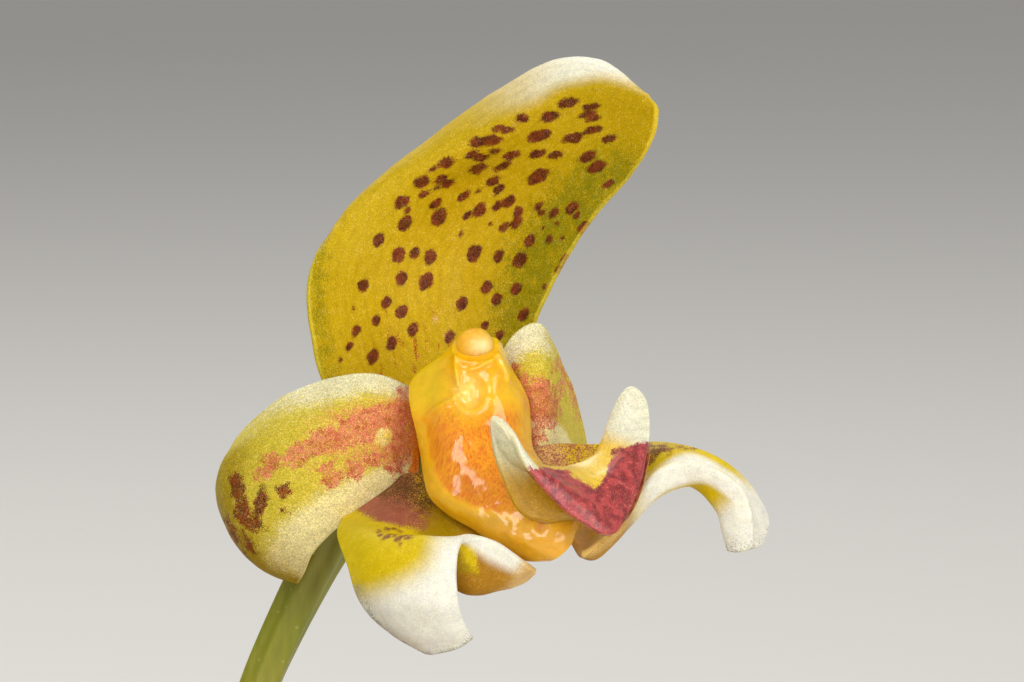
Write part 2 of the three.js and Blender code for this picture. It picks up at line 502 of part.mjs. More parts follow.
// The column and its foot, which hold the anther cap at the top and the lip at the end.
function column(grow) {
  const middles = through(COLUMN.map(({ at }) => point(at)));
  const halves = through(COLUMN.map(({ width, depth }) => point([width, depth, 0])));
  const steps = 14;
  const sides = 14;
  const rings = Array.from({ length: steps + 1 }, (_, i) => {
    const t = i / steps;
    const down = middles.getTangent(t);
    const middle = middles.getPoint(t).addScaledVector(down, endShift(i, steps) * grow);
    const front = new THREE.Vector3().crossVectors(down, COLUMN_SIDE).normalize();
    const side = new THREE.Vector3().crossVectors(front, down).normalize();
    const half = halves.getPoint(t);
    return Array.from({ length: sides }, (_unused, j) => {
      const angle = (j / sides) * 2 * Math.PI;
      return middle
        .clone()
        .addScaledVector(side, Math.cos(angle) * (half.x + grow))
        .addScaledVector(front, Math.sin(angle) * (half.y + grow));
    });
  });
  return solid(loft(rings));
}

function antherCap(grow) {
  const cap = new THREE.SphereGeometry(ANTHER_CAP.radius + grow, 12, 8);
  return solid(cap.translate(...ANTHER_CAP.at));
}

const plant = new THREE.Group();
const flower = new THREE.Group();
flower.position.copy(FLOWER_AT);
flower.rotation.x = -FLOWER_NOD;
flower.updateMatrix();

const rhizomeBed = rhizome(true);
let medium = bark().subtract(rhizomeBed).subtract(scape(CLEARANCE));
SHOOTS.forEach((shoot) => {
  medium = medium.subtract(pseudobulb(shoot, CLEARANCE));
});

addMesh(plant, "pot", shapeOf(pot()), materials.clay);
addMesh(plant, "bark_medium", shapeOf(medium), materials.bark);
addMesh(plant, "rhizome", shapeOf(rhizome(false)), materials.stem);
SHOOTS.forEach((shoot, i) => {
  addMesh(plant, "pseudobulb_" + (i + 1), shapeOf(pseudobulb(shoot, 0).subtract(rhizomeBed)), materials.bulb);
  addMesh(plant, "leaf_" + (i + 1), shapeOf(leaf(shoot)), materials.leaf);
});
addMesh(plant, "scape", shapeOf(scape(0).subtract(rhizomeBed)), materials.stem);

const tepal = () => TEPAL_THICKNESS;
const columnBed = column(1.3 * CLEARANCE);
const seat = columnBed.add(ovary(CLEARANCE));
const seated = (rows, along, across) => shapeOf(solid(blade(rows, along, across, tepal)).subtract(seat));
addMesh(flower, "ovary", shapeOf(ovary(0).subtract(columnBed)), materials.stem);
addMesh(flower, "dorsal_sepal", seated(DORSAL_SEPAL, 18, 10), materials.sepal);
addMesh(flower, "petal_left", seated(LEFT_PETAL, 12, 8), materials.petal);
addMesh(flower, "petal_right", seated(RIGHT_PETAL, 10, 6), materials.petal);
addMesh(flower, "lateral_sepal_left", seated(LEFT_LATERAL_SEPAL, 15, 8), materials.lateral);
addMesh(flower, "lateral_sepal_right", seated(RIGHT_LATERAL_SEPAL, 15, 8), materials.lateral);
addMesh(flower, "column", shapeOf(column(0).subtract(antherCap(CLEARANCE))), materials.column);
addMesh(flower, "anther_cap", shapeOf(antherCap(0)), materials.anther);
const keeled = (u, v) => TEPAL_THICKNESS + LIP_KEEL * Math.sin(Math.PI * v) ** 4 * Math.max(0, 1 - u * 1.8);
addMesh(flower, "lip", shapeOf(solid(blade(LIP, 15, 10, keeled)).subtract(columnBed)), materials.lip);
plant.add(flower);

export default plant;
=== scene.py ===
"""The looks of a potted Bulbophyllum pteroglossum, an orchid with one flower open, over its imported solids.

Shapes are worked out in millimetres as whole arrays, in the pot's frame or in the flower's own frame, and
become metres when a mesh is made from them. In the flower's frame X runs to the right, Y away from the
viewer and Z up. Scales of noise and cells are counts in a metre.
"""

import math

import bpy
import numpy as np
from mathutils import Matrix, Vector


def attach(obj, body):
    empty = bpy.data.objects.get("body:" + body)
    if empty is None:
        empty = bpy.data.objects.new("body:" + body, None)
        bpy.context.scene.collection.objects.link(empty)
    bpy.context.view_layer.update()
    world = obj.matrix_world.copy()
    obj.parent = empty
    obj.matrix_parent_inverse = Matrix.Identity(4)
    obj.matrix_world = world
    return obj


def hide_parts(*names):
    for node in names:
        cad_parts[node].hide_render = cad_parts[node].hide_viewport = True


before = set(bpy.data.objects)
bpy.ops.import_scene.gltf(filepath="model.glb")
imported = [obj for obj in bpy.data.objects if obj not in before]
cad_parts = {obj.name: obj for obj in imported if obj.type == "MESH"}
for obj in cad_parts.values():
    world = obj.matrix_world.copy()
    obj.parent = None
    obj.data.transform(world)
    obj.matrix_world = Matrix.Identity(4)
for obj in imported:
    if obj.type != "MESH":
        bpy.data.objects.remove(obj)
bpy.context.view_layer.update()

MM = 0.001
CLEARANCE = 0.35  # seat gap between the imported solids
FLOWER_AT = np.array([45.0, -8.0, 116.0])
FLOWER_NOD = math.radians(8)
BARK_LEVEL = 72.0
BARK_REACH = 39.4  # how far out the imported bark's top runs
BED_RADIUS = 1.9  # what the bark leaves free round the rhizome
POT_HEIGHT = 82.0
POT_FLOOR = 6.0
POT_INNER_FOOT = 26.5  # inner radius at the floor
POT_INNER_TAPER = 15.0  # what it gains up to the bead of the rim
POT_BEAD = 1.5
HOLE_OFF, HOLE_RADIUS = 17.0, 4.0  # the drain holes
BULB_HEIGHT = 17.0
BULB_FOOT_LEVEL = 76.0
COLUMN_RIM = 0.12  # how far its front and its back are drawn apart
SCAPE_RADIUS = 1.0
RHIZOME_RADIUS = 1.6
ROOT_RADIUS = 0.6
CELL_SCALE = 24000.0  # the flower's cells, a few of them with painted glints
VEIN_SPACING = 0.62
LEAF_VEINS = 11
VIEW_DISTANCE = 400.0
VIEW_WIDTH = 51.2  # what the picture shows across at the flower
VIEW_CENTRE = (3.1, 0.0, 3.95)  # in the flower's frame
SENSOR_WIDTH = 36.0
FLOOR_REACH = 9000.0

# Control nets of the flower: rows run from the base to the tip, and each row crosses from margin to margin.
DORSAL_SEPAL = [
    [(-1.3, 1.2, 0.4), (-0.8, 1.4, 0.5), (-0.2, 1.6, 0.6), (0.5, 1.7, 0.6), (1.3, 1.6, 0.6), (2, 1.4, 0.7)],
    [(-5.6, 0.5, 0.9), (-4.4, 1.3, 1.3), (-2.4, 2.6, 1.8), (-0.2, 3.2, 2.4), (1.8, 2.8, 2.8), (3.6, 2, 3)],
    [(-7, 0.1, 4.6), (-5.7, 1.4, 5), (-3.2, 3.4, 5.4), (-0.4, 4.4, 5.8), (2.3, 3.4, 5.8), (4.5, 1.5, 5.4)],
    [(-6.9, 1.2, 7.9), (-5.8, 2, 8.4), (-3, 3.6, 8.8), (0.2, 4.8, 9), (3.3, 3.4, 8.8), (5.9, 0.6, 8.2)],
    [(-4.9, 4.4, 10), (-4.7, 3.2, 10.9), (-1.9, 3, 11.7), (1.5, 3.9, 11.8), (4.9, 2.2, 11.3),
     (7.5, -0.6, 10.5)],
    [(-0.6, 5.1, 13.5), (-0.9, 3.6, 14.1), (0.9, 2.2, 13.9), (3.8, 2, 13.7), (6.6, 0.4, 13), (9.1, -2, 12.3)],
    [(4.4, 4, 16.8), (4.4, 2.4, 17.6), (5.2, 0.6, 16.4), (6.8, -0.4, 15.8), (8.6, -1.8, 14.9),
     (10.1, -3.4, 14)],
    [(7.3, 1.8, 17.8), (7.5, 0.2, 17.8), (8.1, -1.4, 16.9), (8.9, -2.4, 16.3), (9.7, -3.2, 15.7),
     (10.3, -3.9, 15.2)],
    [(9.4, -2.6, 16.3), (9.6, -2.9, 16.15), (9.8, -3.1, 16.05), (10, -3.4, 15.95), (10.15, -3.6, 15.8),
     (10.25, -3.8, 15.6)],
]
LEFT_PETAL = [
    [(-1.9, 0.2, 1.6), (-1.7, 0, 0.6), (-1.6, -0.1, -0.5), (-1.6, -0.1, -1.6), (-1.6, -0.2, -2.6)],
    [(-3.8, -0.8, 2.3), (-3.6, -1.5, 1.2), (-3.4, -1.8, -0.6), (-3.2, -1.7, -2.4), (-2.9, -1.3, -3.6)],
    [(-6.2, -0.8, 2), (-6.1, -2, 0.7), (-5.9, -2.8, -1.2), (-5.6, -2.8, -3.4), (-5.2, -2.2, -5)],
    [(-8.6, 0, 0.9), (-8.5, -1.6, -0.3), (-8.1, -2.6, -2.4), (-7.5, -2.8, -4.8), (-6.7, -2.2, -6.5)],
    [(-10.6, 1.2, -0.9), (-10.9, -0.2, -2.1), (-10.3, -1.2, -4.2), (-8.9, -1.6, -6.3), (-7.2, -1, -7.5)],
    [(-11.2, 2.8, -2.6), (-11.6, 1.6, -3.6), (-10.9, 0.8, -5.7), (-9.4, 0.4, -7.3), (-7.5, 0.6, -8)],
    [(-10.7, 4.6, -4.3), (-10.9, 3.8, -5.1), (-10.1, 3.2, -6.4), (-8.9, 2.8, -7.5), (-7.7, 2.6, -8.1)],
    [(-9.6, 5.8, -5.8), (-9.4, 5.7, -6.1), (-9.1, 5.4, -6.6), (-8.8, 5.2, -7), (-8.4, 5, -7.3)],
]
RIGHT_PETAL = [
    [(2.3, 0.5, 3), (2.7, 0.6, 1.8), (3, 0.8, 0.6), (3.3, 0.8, -0.4), (3.5, 0.7, -1.3)],
    [(3.3, 0.2, 4.4), (3.5, 0, 3.1), (3.7, -0.1, 1.6), (3.9, -0.1, 0), (4, -0.1, -1.4)],
    [(4.5, 0.6, 4.8), (4.6, 0.2, 3.3), (4.7, 0, 1.6), (4.8, 0, 0), (4.8, 0, -1.5)],
    [(5.4, 2.4, 3.1), (5.5, 2.1, 1.8), (5.5, 1.9, 0.6), (5.6, 1.8, -0.7), (5.6, 1.8, -1.9)],
    [(6.2, 4.4, 1.1), (6.2, 4.2, 0.1), (6.2, 4.1, -0.8), (6.2, 4, -1.8), (6.1, 3.9, -2.8)],
    [(6.7, 6.2, -0.8), (6.7, 6.2, -1.5), (6.7, 6.2, -2.2), (6.6, 6.1, -3), (6.5, 6, -3.8)],
    [(6.8, 7.8, -2.9), (6.8, 7.8, -3.3), (6.7, 7.8, -3.7), (6.6, 7.8, -4.1), (6.5, 7.8, -4.5)],
]
LEFT_LATERAL_SEPAL = [
    [(-0.9, -1.3, -2.7), (0.4, -2.6, -3.9), (1.9, -4.3, -5.2), (3.3, -5.5, -7.7), (4.3, -6.4, -7.35)],
    [(-2.1, -1.1, -2.7), (-0.9, -3.3, -4.7), (0.7, -5.3, -6.5), (2.5, -6.6, -8.1), (3.9, -7.4, -7)],
    [(-3.4, -1.2, -3.5), (-2.5, -5, -5.2), (-0.9, -6.8, -6.8), (1, -7.7, -8.2), (2.4, -8.3, -5.9)],
    [(-5, -1.8, -4.7), (-3.5, -6, -5.5), (-1.8, -7.8, -6.1), (-0.2, -8.6, -6.3), (1.2, -8.8, -5.6)],
    [(-5.5, -4.4, -5.6), (-3.8, -7.6, -5.8), (-2.2, -8.7, -5.8), (-0.6, -9.4, -5.8), (0.6, -9.5, -6)],
    [(-4.9, -7.2, -7.2), (-3.6, -8.8, -7), (-2.2, -9.7, -7), (-0.8, -10.1, -7), (0.4, -10, -7.2)],
    [(-4.2, -7.6, -8.9), (-3.1, -9.2, -8.8), (-1.8, -10, -8.7), (-0.5, -10.3, -8.7), (0.5, -10, -8.7)],
    [(-2.8, -7.6, -10.3), (-2, -8.8, -10.3), (-1.1, -9.4, -10.1), (0, -9.6, -9.9), (0.8, -9.2, -9.8)],
    [(-1, -7.6, -11.3), (-0.6, -8, -11.3), (-0.1, -8.2, -11.2), (0.55, -8.4, -11), (1.2, -8.5, -10.55)],
]
RIGHT_LATERAL_SEPAL = [
    [(3.8, -0.6, -1.5), (5, -1.9, -3.6), (5.6, -3.2, -5), (6.2, -4.6, -6.3), (6.6, -5.7, -6.7)],
    [(5.2, -0.6, -1.2), (5.9, -1.5, -3.4), (6.6, -3, -5.4), (7.2, -4.8, -6.6), (7.3, -5.8, -6.1)],
    [(7.2, -0.5, -1.2), (7.7, -1.2, -2.8), (8.3, -2.6, -4.6), (8.6, -4.4, -5.3), (8.7, -5.2, -4.7)],
    [(9.2, -0.2, -1.2), (9.3, -1.2, -1.9), (9.7, -2.4, -3.4), (10, -3.9, -3.8), (9.9, -4.4, -2.7)],
    [(11.1, -0.3, -1.3), (11.1, -1.2, -1.7), (11.3, -2.3, -2.8), (11.4, -3.5, -3.1), (11.4, -4, -2)],
    [(13.1, -0.8, -1.8), (12.7, -1.6, -2.3), (12.5, -2.8, -3.4), (12.8, -3.8, -3), (12.9, -4.2, -2.2)],
    [(14.8, -1.2, -3.1), (14.2, -2.2, -3.5), (13.4, -3.2, -4.4), (13.9, -3.9, -3.9), (14.4, -4.2, -3.2)],
    [(15.8, -1.6, -4.8), (15, -2.6, -4.9), (13.7, -3.2, -5.4), (14.3, -3.8, -5.1), (15, -4, -4.6)],
    [(15.5, -2, -6.2), (15, -2.6, -6.4), (14, -3, -6.5), (14.5, -3.4, -6.5), (15.1, -3.4, -6.2)],
]
LIP = [
    [(4.9, -7, -5), (5.3, -6.8, -5), (5.9, -6.3, -5), (6.4, -5.8, -5.1), (6.6, -5.6, -5.2)],
    [(3.5, -7.4, -4.5), (4.5, -7, -4.3), (5.6, -6.3, -4.2), (6.2, -5.5, -4.1), (6.6, -5.1, -4.2)],
    [(2.7, -7.9, -3), (4, -7.3, -3), (5.7, -6.1, -2.9), (6.9, -4.7, -2.4), (7.5, -4.2, -1.9)],
    [(2.15, -8.4, -1.3), (3.6, -7.8, -2.2), (6.1, -6, -2.6), (7.8, -4.6, -1.5), (8.3, -3.6, 0.7)],
    [(2.1, -8.9, 0.25), (3.3, -8.4, -1.9), (6.6, -6.5, -2.7), (8.5, -4.7, -1.3), (9, -3.5, 1.7)],
    [(2.95, -9.4, -0.5), (4.2, -8.8, -2.35), (7.1, -7.2, -3.2), (9.2, -5, -1.4), (9.8, -3.8, 0.9)],
    [(3.8, -9.5, -2.3), (5.3, -8.95, -3.05), (7.5, -7.9, -4.2), (9.4, -5.7, -2.6), (9.8, -4.8, -1.2)],
    [(5.6, -9.1, -4.3), (6.65, -8.75, -4.5), (7.8, -8.2, -5.1), (8.8, -7, -4.3), (9.3, -6.3, -3.4)],
    [(7.4, -8.6, -5.5), (7.6, -8.5, -5.55), (7.8, -8.3, -5.6), (8, -8.1, -5.55), (8.2, -7.9, -5.45)],
]
# The column and its foot from the front: rows run from the top to the hinge of the lip, and each row crosses
# from the edge of the left wing, over the body's left shoulder and its crest, to the right edge.
COLUMN_FRONT = [
    [(0, -1.1, 3.7), (0.3, -1.4, 3.95), (0.7, -1.6, 4.05), (1.25, -1.7, 4.05), (1.85, -1.6, 4.1),
     (2.3, -1.4, 4.05), (2.6, -1.2, 3.8)],
    [(-0.5, -1.2, 3.2), (-0.05, -1.7, 3.2), (0.45, -2.2, 3.15), (1.2, -2.4, 3.1), (2, -2.3, 3.15),
     (2.5, -1.9, 3.2), (2.85, -1.3, 3.1)],
    [(-1.35, -1.1, 2.6), (-0.6, -1.8, 2.45), (0.25, -2.6, 2.35), (1.15, -2.9, 2.2), (2.1, -2.8, 2.3),
     (2.75, -2.3, 2.4), (3.2, -1.3, 2.4)],
    [(-2, -1.1, 1.85), (-1, -1.9, 1.65), (0.1, -2.8, 1.55), (1, -3.1, 1.4), (2, -3, 1.5), (2.9, -2.3, 1.6),
     (3.6, -1.1, 1.75)],
    [(-2, -1.6, 0.8), (-1.1, -2.2, 0.55), (-0.25, -3, 0.55), (0.9, -3.4, 0.5), (2.1, -3.2, 0.6),
     (3.25, -2.4, 0.8), (3.95, -1.1, 0.9)],
    [(-1.7, -2.3, -0.5), (-1.25, -2.6, -0.6), (-0.5, -3.4, -0.5), (0.75, -3.8, -0.45), (2, -3.5, -0.4),
     (3.25, -2.6, -0.25), (4.05, -1.2, -0.2)],
    [(-1.45, -2.8, -1.75), (-1.05, -3.2, -1.85), (-0.35, -3.9, -1.8), (1, -4.2, -1.65), (2.35, -3.9, -1.45),
     (3.4, -3, -1.25), (4.1, -1.7, -1.1)],
    [(-1.3, -3.4, -2.75), (-0.85, -3.9, -2.9), (0.1, -4.5, -2.9), (1.5, -4.8, -2.6), (2.75, -4.5, -2.25),
     (3.7, -3.6, -1.9), (4.3, -2.4, -1.65)],
    [(-1, -4.1, -3.75), (-0.45, -4.6, -3.75), (0.75, -5.1, -3.8), (2.1, -5.4, -3.45), (3.3, -5.1, -3),
     (4.25, -4.4, -2.55), (4.8, -3.3, -2.3)],
    [(-0.1, -4.8, -4.6), (0.45, -5.3, -4.55), (1.6, -5.8, -4.55), (2.85, -6, -4.15), (4, -5.8, -3.65),
     (4.9, -5.1, -3.25), (5.45, -4.1, -3)],
    [(1.2, -5.5, -5.35), (1.75, -5.9, -5.25), (2.7, -6.3, -5.2), (3.8, -6.5, -4.8), (4.75, -6.3, -4.35),
     (5.5, -5.7, -4), (5.95, -4.9, -3.8)],
    [(2.4, -6, -6.15), (2.85, -6.4, -5.95), (3.6, -6.8, -5.75), (4.5, -6.9, -5.3), (5.3, -6.7, -4.9),
     (5.9, -6.2, -4.5), (6.2, -5.6, -4.3)],
    [(3.7, -6.3, -6.85), (3.95, -6.6, -6.6), (4.4, -6.9, -6.3), (5.05, -7, -5.9), (5.65, -6.8, -5.5),
     (6.15, -6.4, -5.1), (6.45, -5.9, -4.9)],
    [(4.9, -6.35, -6.9), (5.1, -6.55, -6.83), (5.35, -6.7, -6.7), (5.63, -6.75, -6.48), (5.88, -6.65, -6.22),
     (6.05, -6.4, -6), (6.14, -6.2, -5.82)],
]
# How far the column's back stands behind each of those rows.
COLUMN_BACK = [0.5, 0.9, 1.2, 1.4, 1.5, 1.6, 1.6, 1.5, 1.4, 1.2, 1, 0.8, 0.6, 0.3]
# Its relief, as it shows from the front: a ridge is its line, its width and its height; a dome is its middle,
# its half sizes and its height. The fold is a crease near the hinge.
COLUMN_RIDGES = [
    ([(1.05, 2.5), (1.35, 2.55), (1.8, 2.72), (2.15, 2.88)], 0.12, 0.2),
    ([(0.25, 3), (0.3, 2.6), (0.36, 2.2), (0.42, 1.75)], 0.15, 0.26),
    ([(2.5, 3.1), (2.75, 2.75), (2.95, 2.4), (3, 2)], 0.16, 0.3),
    ([(0.15, 3.9), (0.2, 3.3), (0.5, 2.95), (1.2, 2.82), (2, 2.92), (2.4, 3.3), (2.45, 3.9)], 0.13, 0.16),
    ([(0.15, 1.5), (0.35, 0.85), (0.9, 0.42), (1.5, 0.55), (1.85, 1.1)], 0.17, 0.14),
    ([(0.5, 1.4), (0.1, 1), (-0.6, 0.6), (-1.2, 0.1)], 0.15, 0.16),
]
COLUMN_DOMES = [
    ((1.05, 1.35), (0.75, 0.85), -0.5), ((0.9, 1.4), (0.34, 0.48), 0.42), ((0.1, -1.4), (1.5, 1.6), 0.35),
    ((2.3, 1.6), (0.6, 0.9), 0.12),
]
COLUMN_FOLD = [(4.3, -4.3), (4.65, -4.7), (4.5, -5.2)]
ANTHER_CAP_AT = np.array([1.25, -1.9, 3.75])
SCAPE_PATH = [(-16, 6, -41), (-15.4, 6, -36), (-14, 6, -28), (-12, 6, -20), (-10.4, 6, -15.4)]
OVARY_PATH = [
    (-10.4, 6, -15.3), (-9.1, 6, -12), (-6.7, 5.3, -7.2), (-4.4, 4.2, -3.7), (-0.6, 1, -1.3),
    (0.9, -0.4, -1.2),
]

# The creeping rhizome and its branch, its roots and its shoots, in the pot's frame.
RHIZOME_PATH = [
    (-34, 6, 73.5), (-28, 12, 75), (-17, 19, 75.5), (-4, 17, 75), (8, 9, 75.5), (19, -1, 75),
    (27, -6.5, 74.5), (31, -9, 74),
]
BRANCH_PATH = [(-4, 17, 75), (-7, 7, 75.2), (-10, -6, 75.5), (-9, -18, 75), (-2, -28, 75), (6, -32, 74.5)]
# Whether the root is on the branch, the share of its length, the compass degree it heads off by, its reach.
ROOTS = [
    (False, 0.08, 250, 11), (False, 0.2, 95, 12), (False, 0.35, 75, 10), (False, 0.5, 40, 12),
    (False, 0.66, 35, 12), (False, 0.78, 235, 13), (False, 0.9, 30, 9), (True, 0.3, 0, 12),
    (True, 0.55, 10, 12), (True, 0.8, 165, 12),
]
# Foot, lean (compass degrees, degrees off upright), size, and the leaf's heading, rise, droop, length, width
# and twist.
SHOOTS = [
    ((-28, 12), (160, 20), 0.95, (172, 48, 62, 62, 18, 10)),
    ((-17, 19), (120, 14), 1.05, (118, 66, 50, 70, 19, -12)),
    ((-4, 17), (85, 8), 1, (98, 80, 34, 68, 20, 16)),
    ((8, 9), (150, 10), 0.9, (128, 84, 26, 60, 17, 40)),
    ((-10, -6), (200, 10), 1, (196, 72, 54, 68, 19, -8)),
    ((-9, -18), (235, 16), 1, (228, 52, 66, 62, 18, 8)),
    ((-2, -28), (280, 20), 0.85, (292, 40, 70, 54, 17, -6)),
]
# The pot's section, radius and level: from its underside up the outside, over the rim and down the inside.
POT_PROFILE = [
    (27.5, 0), (29.2, 0), (29.8, 0.25), (30, 0.9), (31.2, 8), (33, 18), (34.8, 28), (36.6, 38), (38.4, 48.3),
    (40.2, 58.4), (41.6, 65.6), (42.2, 65.95), (43.5, 66), (45.4, 66), (46.3, 66.3), (46.7, 67), (46.8, 70),
    (46.9, 75), (46.95, 79.5), (46.6, 81), (45.8, 81.8), (45, 82), (44, 82), (43, 81.8), (42, 81.2),
    (41.4, 80), (39.5, 70), (36.5, 55), (33.5, 40), (30, 23), (27.3, 9.8), (26.7, 7),
]

# The dorsal sepal's spots: where each shows from the front (x, z) and half its length along the veins.
DORSAL_SPOTS = [
    (6.05, 15.9, 0.5), (7.15, 15.65, 0.36), (5.05, 15.25, 0.5), (7, 15.3, 0.42), (7.25, 15.1, 0.34),
    (7.25, 14.5, 0.4), (4.5, 14.3, 0.62), (6.25, 14.15, 0.52), (8.05, 14.05, 0.38), (3.7, 15.15, 0.36),
    (2.5, 14.65, 0.32), (2.9, 14.6, 0.3), (1.4, 14, 0.42), (2.1, 14.1, 0.5), (2.2, 13.6, 0.26),
    (1.05, 13.4, 0.34), (1.45, 13.3, 0.36), (3.1, 13.4, 0.42), (4.45, 13.4, 0.4), (5.35, 13.3, 0.38),
    (7, 13.2, 0.46), (-0.2, 13, 0.4), (-0.9, 12.65, 0.22), (1.35, 12.75, 0.46), (2.65, 12.85, 0.4),
    (7.45, 12.65, 0.5), (4.5, 12.25, 0.58), (-1.5, 12, 0.42), (-0.5, 12.2, 0.36), (-0.7, 11.8, 0.2),
    (-0.15, 12, 0.34), (2.2, 12.1, 0.38), (-1.4, 11.45, 0.26), (0.65, 11.35, 0.36), (1.45, 11.6, 0.17),
    (2.5, 11.65, 0.3), (2.3, 11.35, 0.13), (8, 11.75, 0.28), (-2.5, 11, 0.42), (-0.8, 10.95, 0.32),
    (1.5, 10.6, 0.42), (0.8, 10.3, 0.25), (2.4, 10.8, 0.3), (3, 11, 0.38), (3.5, 10.45, 0.33),
    (-2.25, 10.6, 0.2), (-2.35, 9.95, 0.42), (-0.65, 10.25, 0.52), (3.45, 9.95, 0.33), (2.75, 9.65, 0.28),
    (4.55, 10.75, 0.25), (4.7, 10.4, 0.2), (5.3, 10.35, 0.3), (6.25, 10.6, 0.36), (6.45, 10.2, 0.2),
    (2.15, 9.9, 0.1), (0.55, 9.4, 0.2), (5.45, 9.8, 0.13), (4.8, 9.6, 0.1), (4.1, 9, 0.36), (5.1, 9.05, 0.24),
    (5.75, 9.05, 0.14), (6.8, 9.55, 0.34), (-3.7, 9.05, 0.38), (-2.7, 8.3, 0.42), (-1.9, 8.4, 0.32),
    (-1.1, 8.2, 0.42), (1.25, 8.35, 0.46), (2.5, 8.2, 0.34), (3.6, 8, 0.42), (5.85, 8, 0.28), (5.5, 7.5, 0.2),
    (-2.55, 7.1, 0.38), (-1.3, 6.95, 0.48), (-4.5, 6.75, 0.36), (1.9, 6.6, 0.36), (3.4, 6.5, 0.33),
    (4.85, 6.65, 0.13), (-3.3, 5.9, 0.32), (-2.55, 5.4, 0.38), (0.6, 5.8, 0.38), (2.4, 6, 0.33),
    (-3.85, 4.95, 0.3), (-4.85, 4.45, 0.28), (3.8, 5.25, 0.32), (-1.95, 4.5, 0.36), (-5, 5.55, 0.1),
    (-5.15, 3.65, 0.22), (-3.05, 3.75, 0.36), (-4, 3.1, 0.38), (-5.6, 3, 0.13), (0, 4.15, 0.34),
    (1.8, 4.7, 0.25), (2.55, 4.2, 0.24),
]
# Other marks: x and z from the front, half the length, half the width and how many degrees the length rises.
LEFT_PETAL_PATCHES = [
    (-2.75, 0.1, 1.3, 0.5, 75), (-4.3, -0.35, 1.9, 0.72, 26), (-2.7, -1.5, 1.1, 0.6, 80),
    (-6.3, -1.1, 1, 0.6, 22), (-7.5, -1.8, 0.9, 0.42, 26), (-7.5, -1.4, 0.35, 0.28, 20),
    (-8.8, -2.2, 0.5, 0.42, 60), (-9.1, -2.65, 0.42, 0.34, 20), (-5.85, -2.9, 0.5, 0.34, 30),
    (-4.8, -2.5, 0.45, 0.36, 20), (-3.9, -1.9, 0.45, 0.3, 20), (-6.1, -2.4, 0.25, 0.2, 0),
]
LEFT_PETAL_BLOTCHES = [
    (-10.4, -3.5, 0.85, 0.36, 105), (-10.15, -4.6, 0.6, 0.4, 110), (-9.7, -5.15, 0.5, 0.3, -15),
    (-9.3, -4.1, 0.8, 0.32, 65), (-8.15, -3.5, 0.34, 0.3, 20), (-8.15, -4.45, 0.15, 0.13, 0),
    (-9.95, -6, 0.55, 0.2, -60), (-10.75, -5.5, 0.7, 0.14, -65), (-10.1, -6.9, 0.75, 0.1, -48),
]
LEFT_PETAL_CALLUS = [(-3.4, -0.85, 0.45, 0.36, 60)]
LEFT_PETAL_ORANGE = [(-1.6, -1.2, 1.3, 0.32, 88), (-1.9, -2.5, 0.5, 0.25, 60)]
RIGHT_PETAL_PATCHES = [
    (4.55, 0.75, 1.25, 0.7, 100), (3.7, 2, 0.6, 0.3, 120), (4.3, -0.8, 0.45, 0.3, 100),
    (5.4, 1.7, 0.5, 0.14, 62), (5.25, 2.8, 0.2, 0.08, 60), (5.6, 2.2, 0.45, 0.1, -65),
    (6.1, 2, 0.55, 0.1, -70), (6.25, 1.5, 0.35, 0.1, -70), (5.9, 1.7, 0.3, 0.1, -70),
    (6.05, 1, 0.25, 0.08, -80), (6.25, 0.1, 0.13, 0.1, 0), (5.2, 0.9, 0.4, 0.12, 60),
]
LEFT_LATERAL_FLECKS = [
    (-3.1, -5.5, 0.13, 0.07, -20), (-2.95, -5.8, 0.16, 0.07, 20), (-2.4, -5.9, 0.2, 0.08, 40),
    (-2.5, -5.6, 0.1, 0.06, 0), (-3.3, -5.75, 0.08, 0.06, 0), (-2.1, -5.7, 0.22, 0.05, -10),
    (-2.3, -6.1, 0.08, 0.06, 60), (-2.75, -5.5, 0.07, 0.05, 0), (-1.9, -5.85, 0.14, 0.04, 10),
    (-2.6, -5.75, 0.08, 0.05, 0), (-3.45, -5.6, 0.06, 0.05, 0),
]
RIGHT_LATERAL_FLECKS = [
    (10.3, -1.7, 0.5, 0.11, 14), (10.05, -1.95, 0.5, 0.11, 28), (10.6, -1.45, 0.35, 0.06, 2),
    (9.9, -2.25, 0.34, 0.12, 40), (11.45, -1.5, 0.14, 0.04, 0), (11.9, -1.6, 0.16, 0.03, 0),
    (10.95, -1.6, 0.2, 0.05, 10), (12.3, -1.62, 0.08, 0.03, 0), (9.7, -1.5, 0.3, 0.12, 20),
    (11.3, -1.25, 0.07, 0.04, 0), (9.5, -1.9, 0.35, 0.2, 20), (10.9, -1.85, 0.08, 0.03, 20),
]
# Lines where one colour meets another, as they show from the front.
DORSAL_CREST = [(2.2, 14.9), (4.35, 15.6), (5.6, 16.35), (6.75, 16.6), (7.65, 16.7), (8.85, 16.4), (9.75, 16)]
LEFT_LATERAL_WHITE_LINE = [(0.6, -5.25), (-0.5, -5.8), (-1.1, -7.1), (-2.6, -8), (-4.3, -8.6), (-5.5, -9)]
LEFT_LATERAL_PURPLE_LINE = [
    (1, -5.75), (0, -5.62), (-0.8, -5.6), (-1.6, -5.6), (-2.5, -5.4), (-3.3, -5.2), (-4, -4.95), (-4.6, -4.6),
]
RIGHT_LATERAL_WHITE_LINE = [
    (5.3, -6.7), (6.9, -5.9), (7.55, -5.55), (8.9, -4.25), (9.5, -3.15), (10, -2.7), (10.75, -2.15),
    (11.3, -1.85), (12, -1.75), (12.8, -2), (13.5, -2.4), (14.4, -3), (15, -3.6), (15.9, -4.6),
]
LIP_MAROON_LINE = [
    (3.7, -2.1), (4.3, -2.4), (5.5, -2.5), (5.9, -2.8), (6.3, -3.05), (7, -3.35), (7.35, -3.3), (7.6, -3),
    (8, -2.2), (8.2, -1.6), (9, -1.4), (9.75, -1.1), (10.6, -1),
]
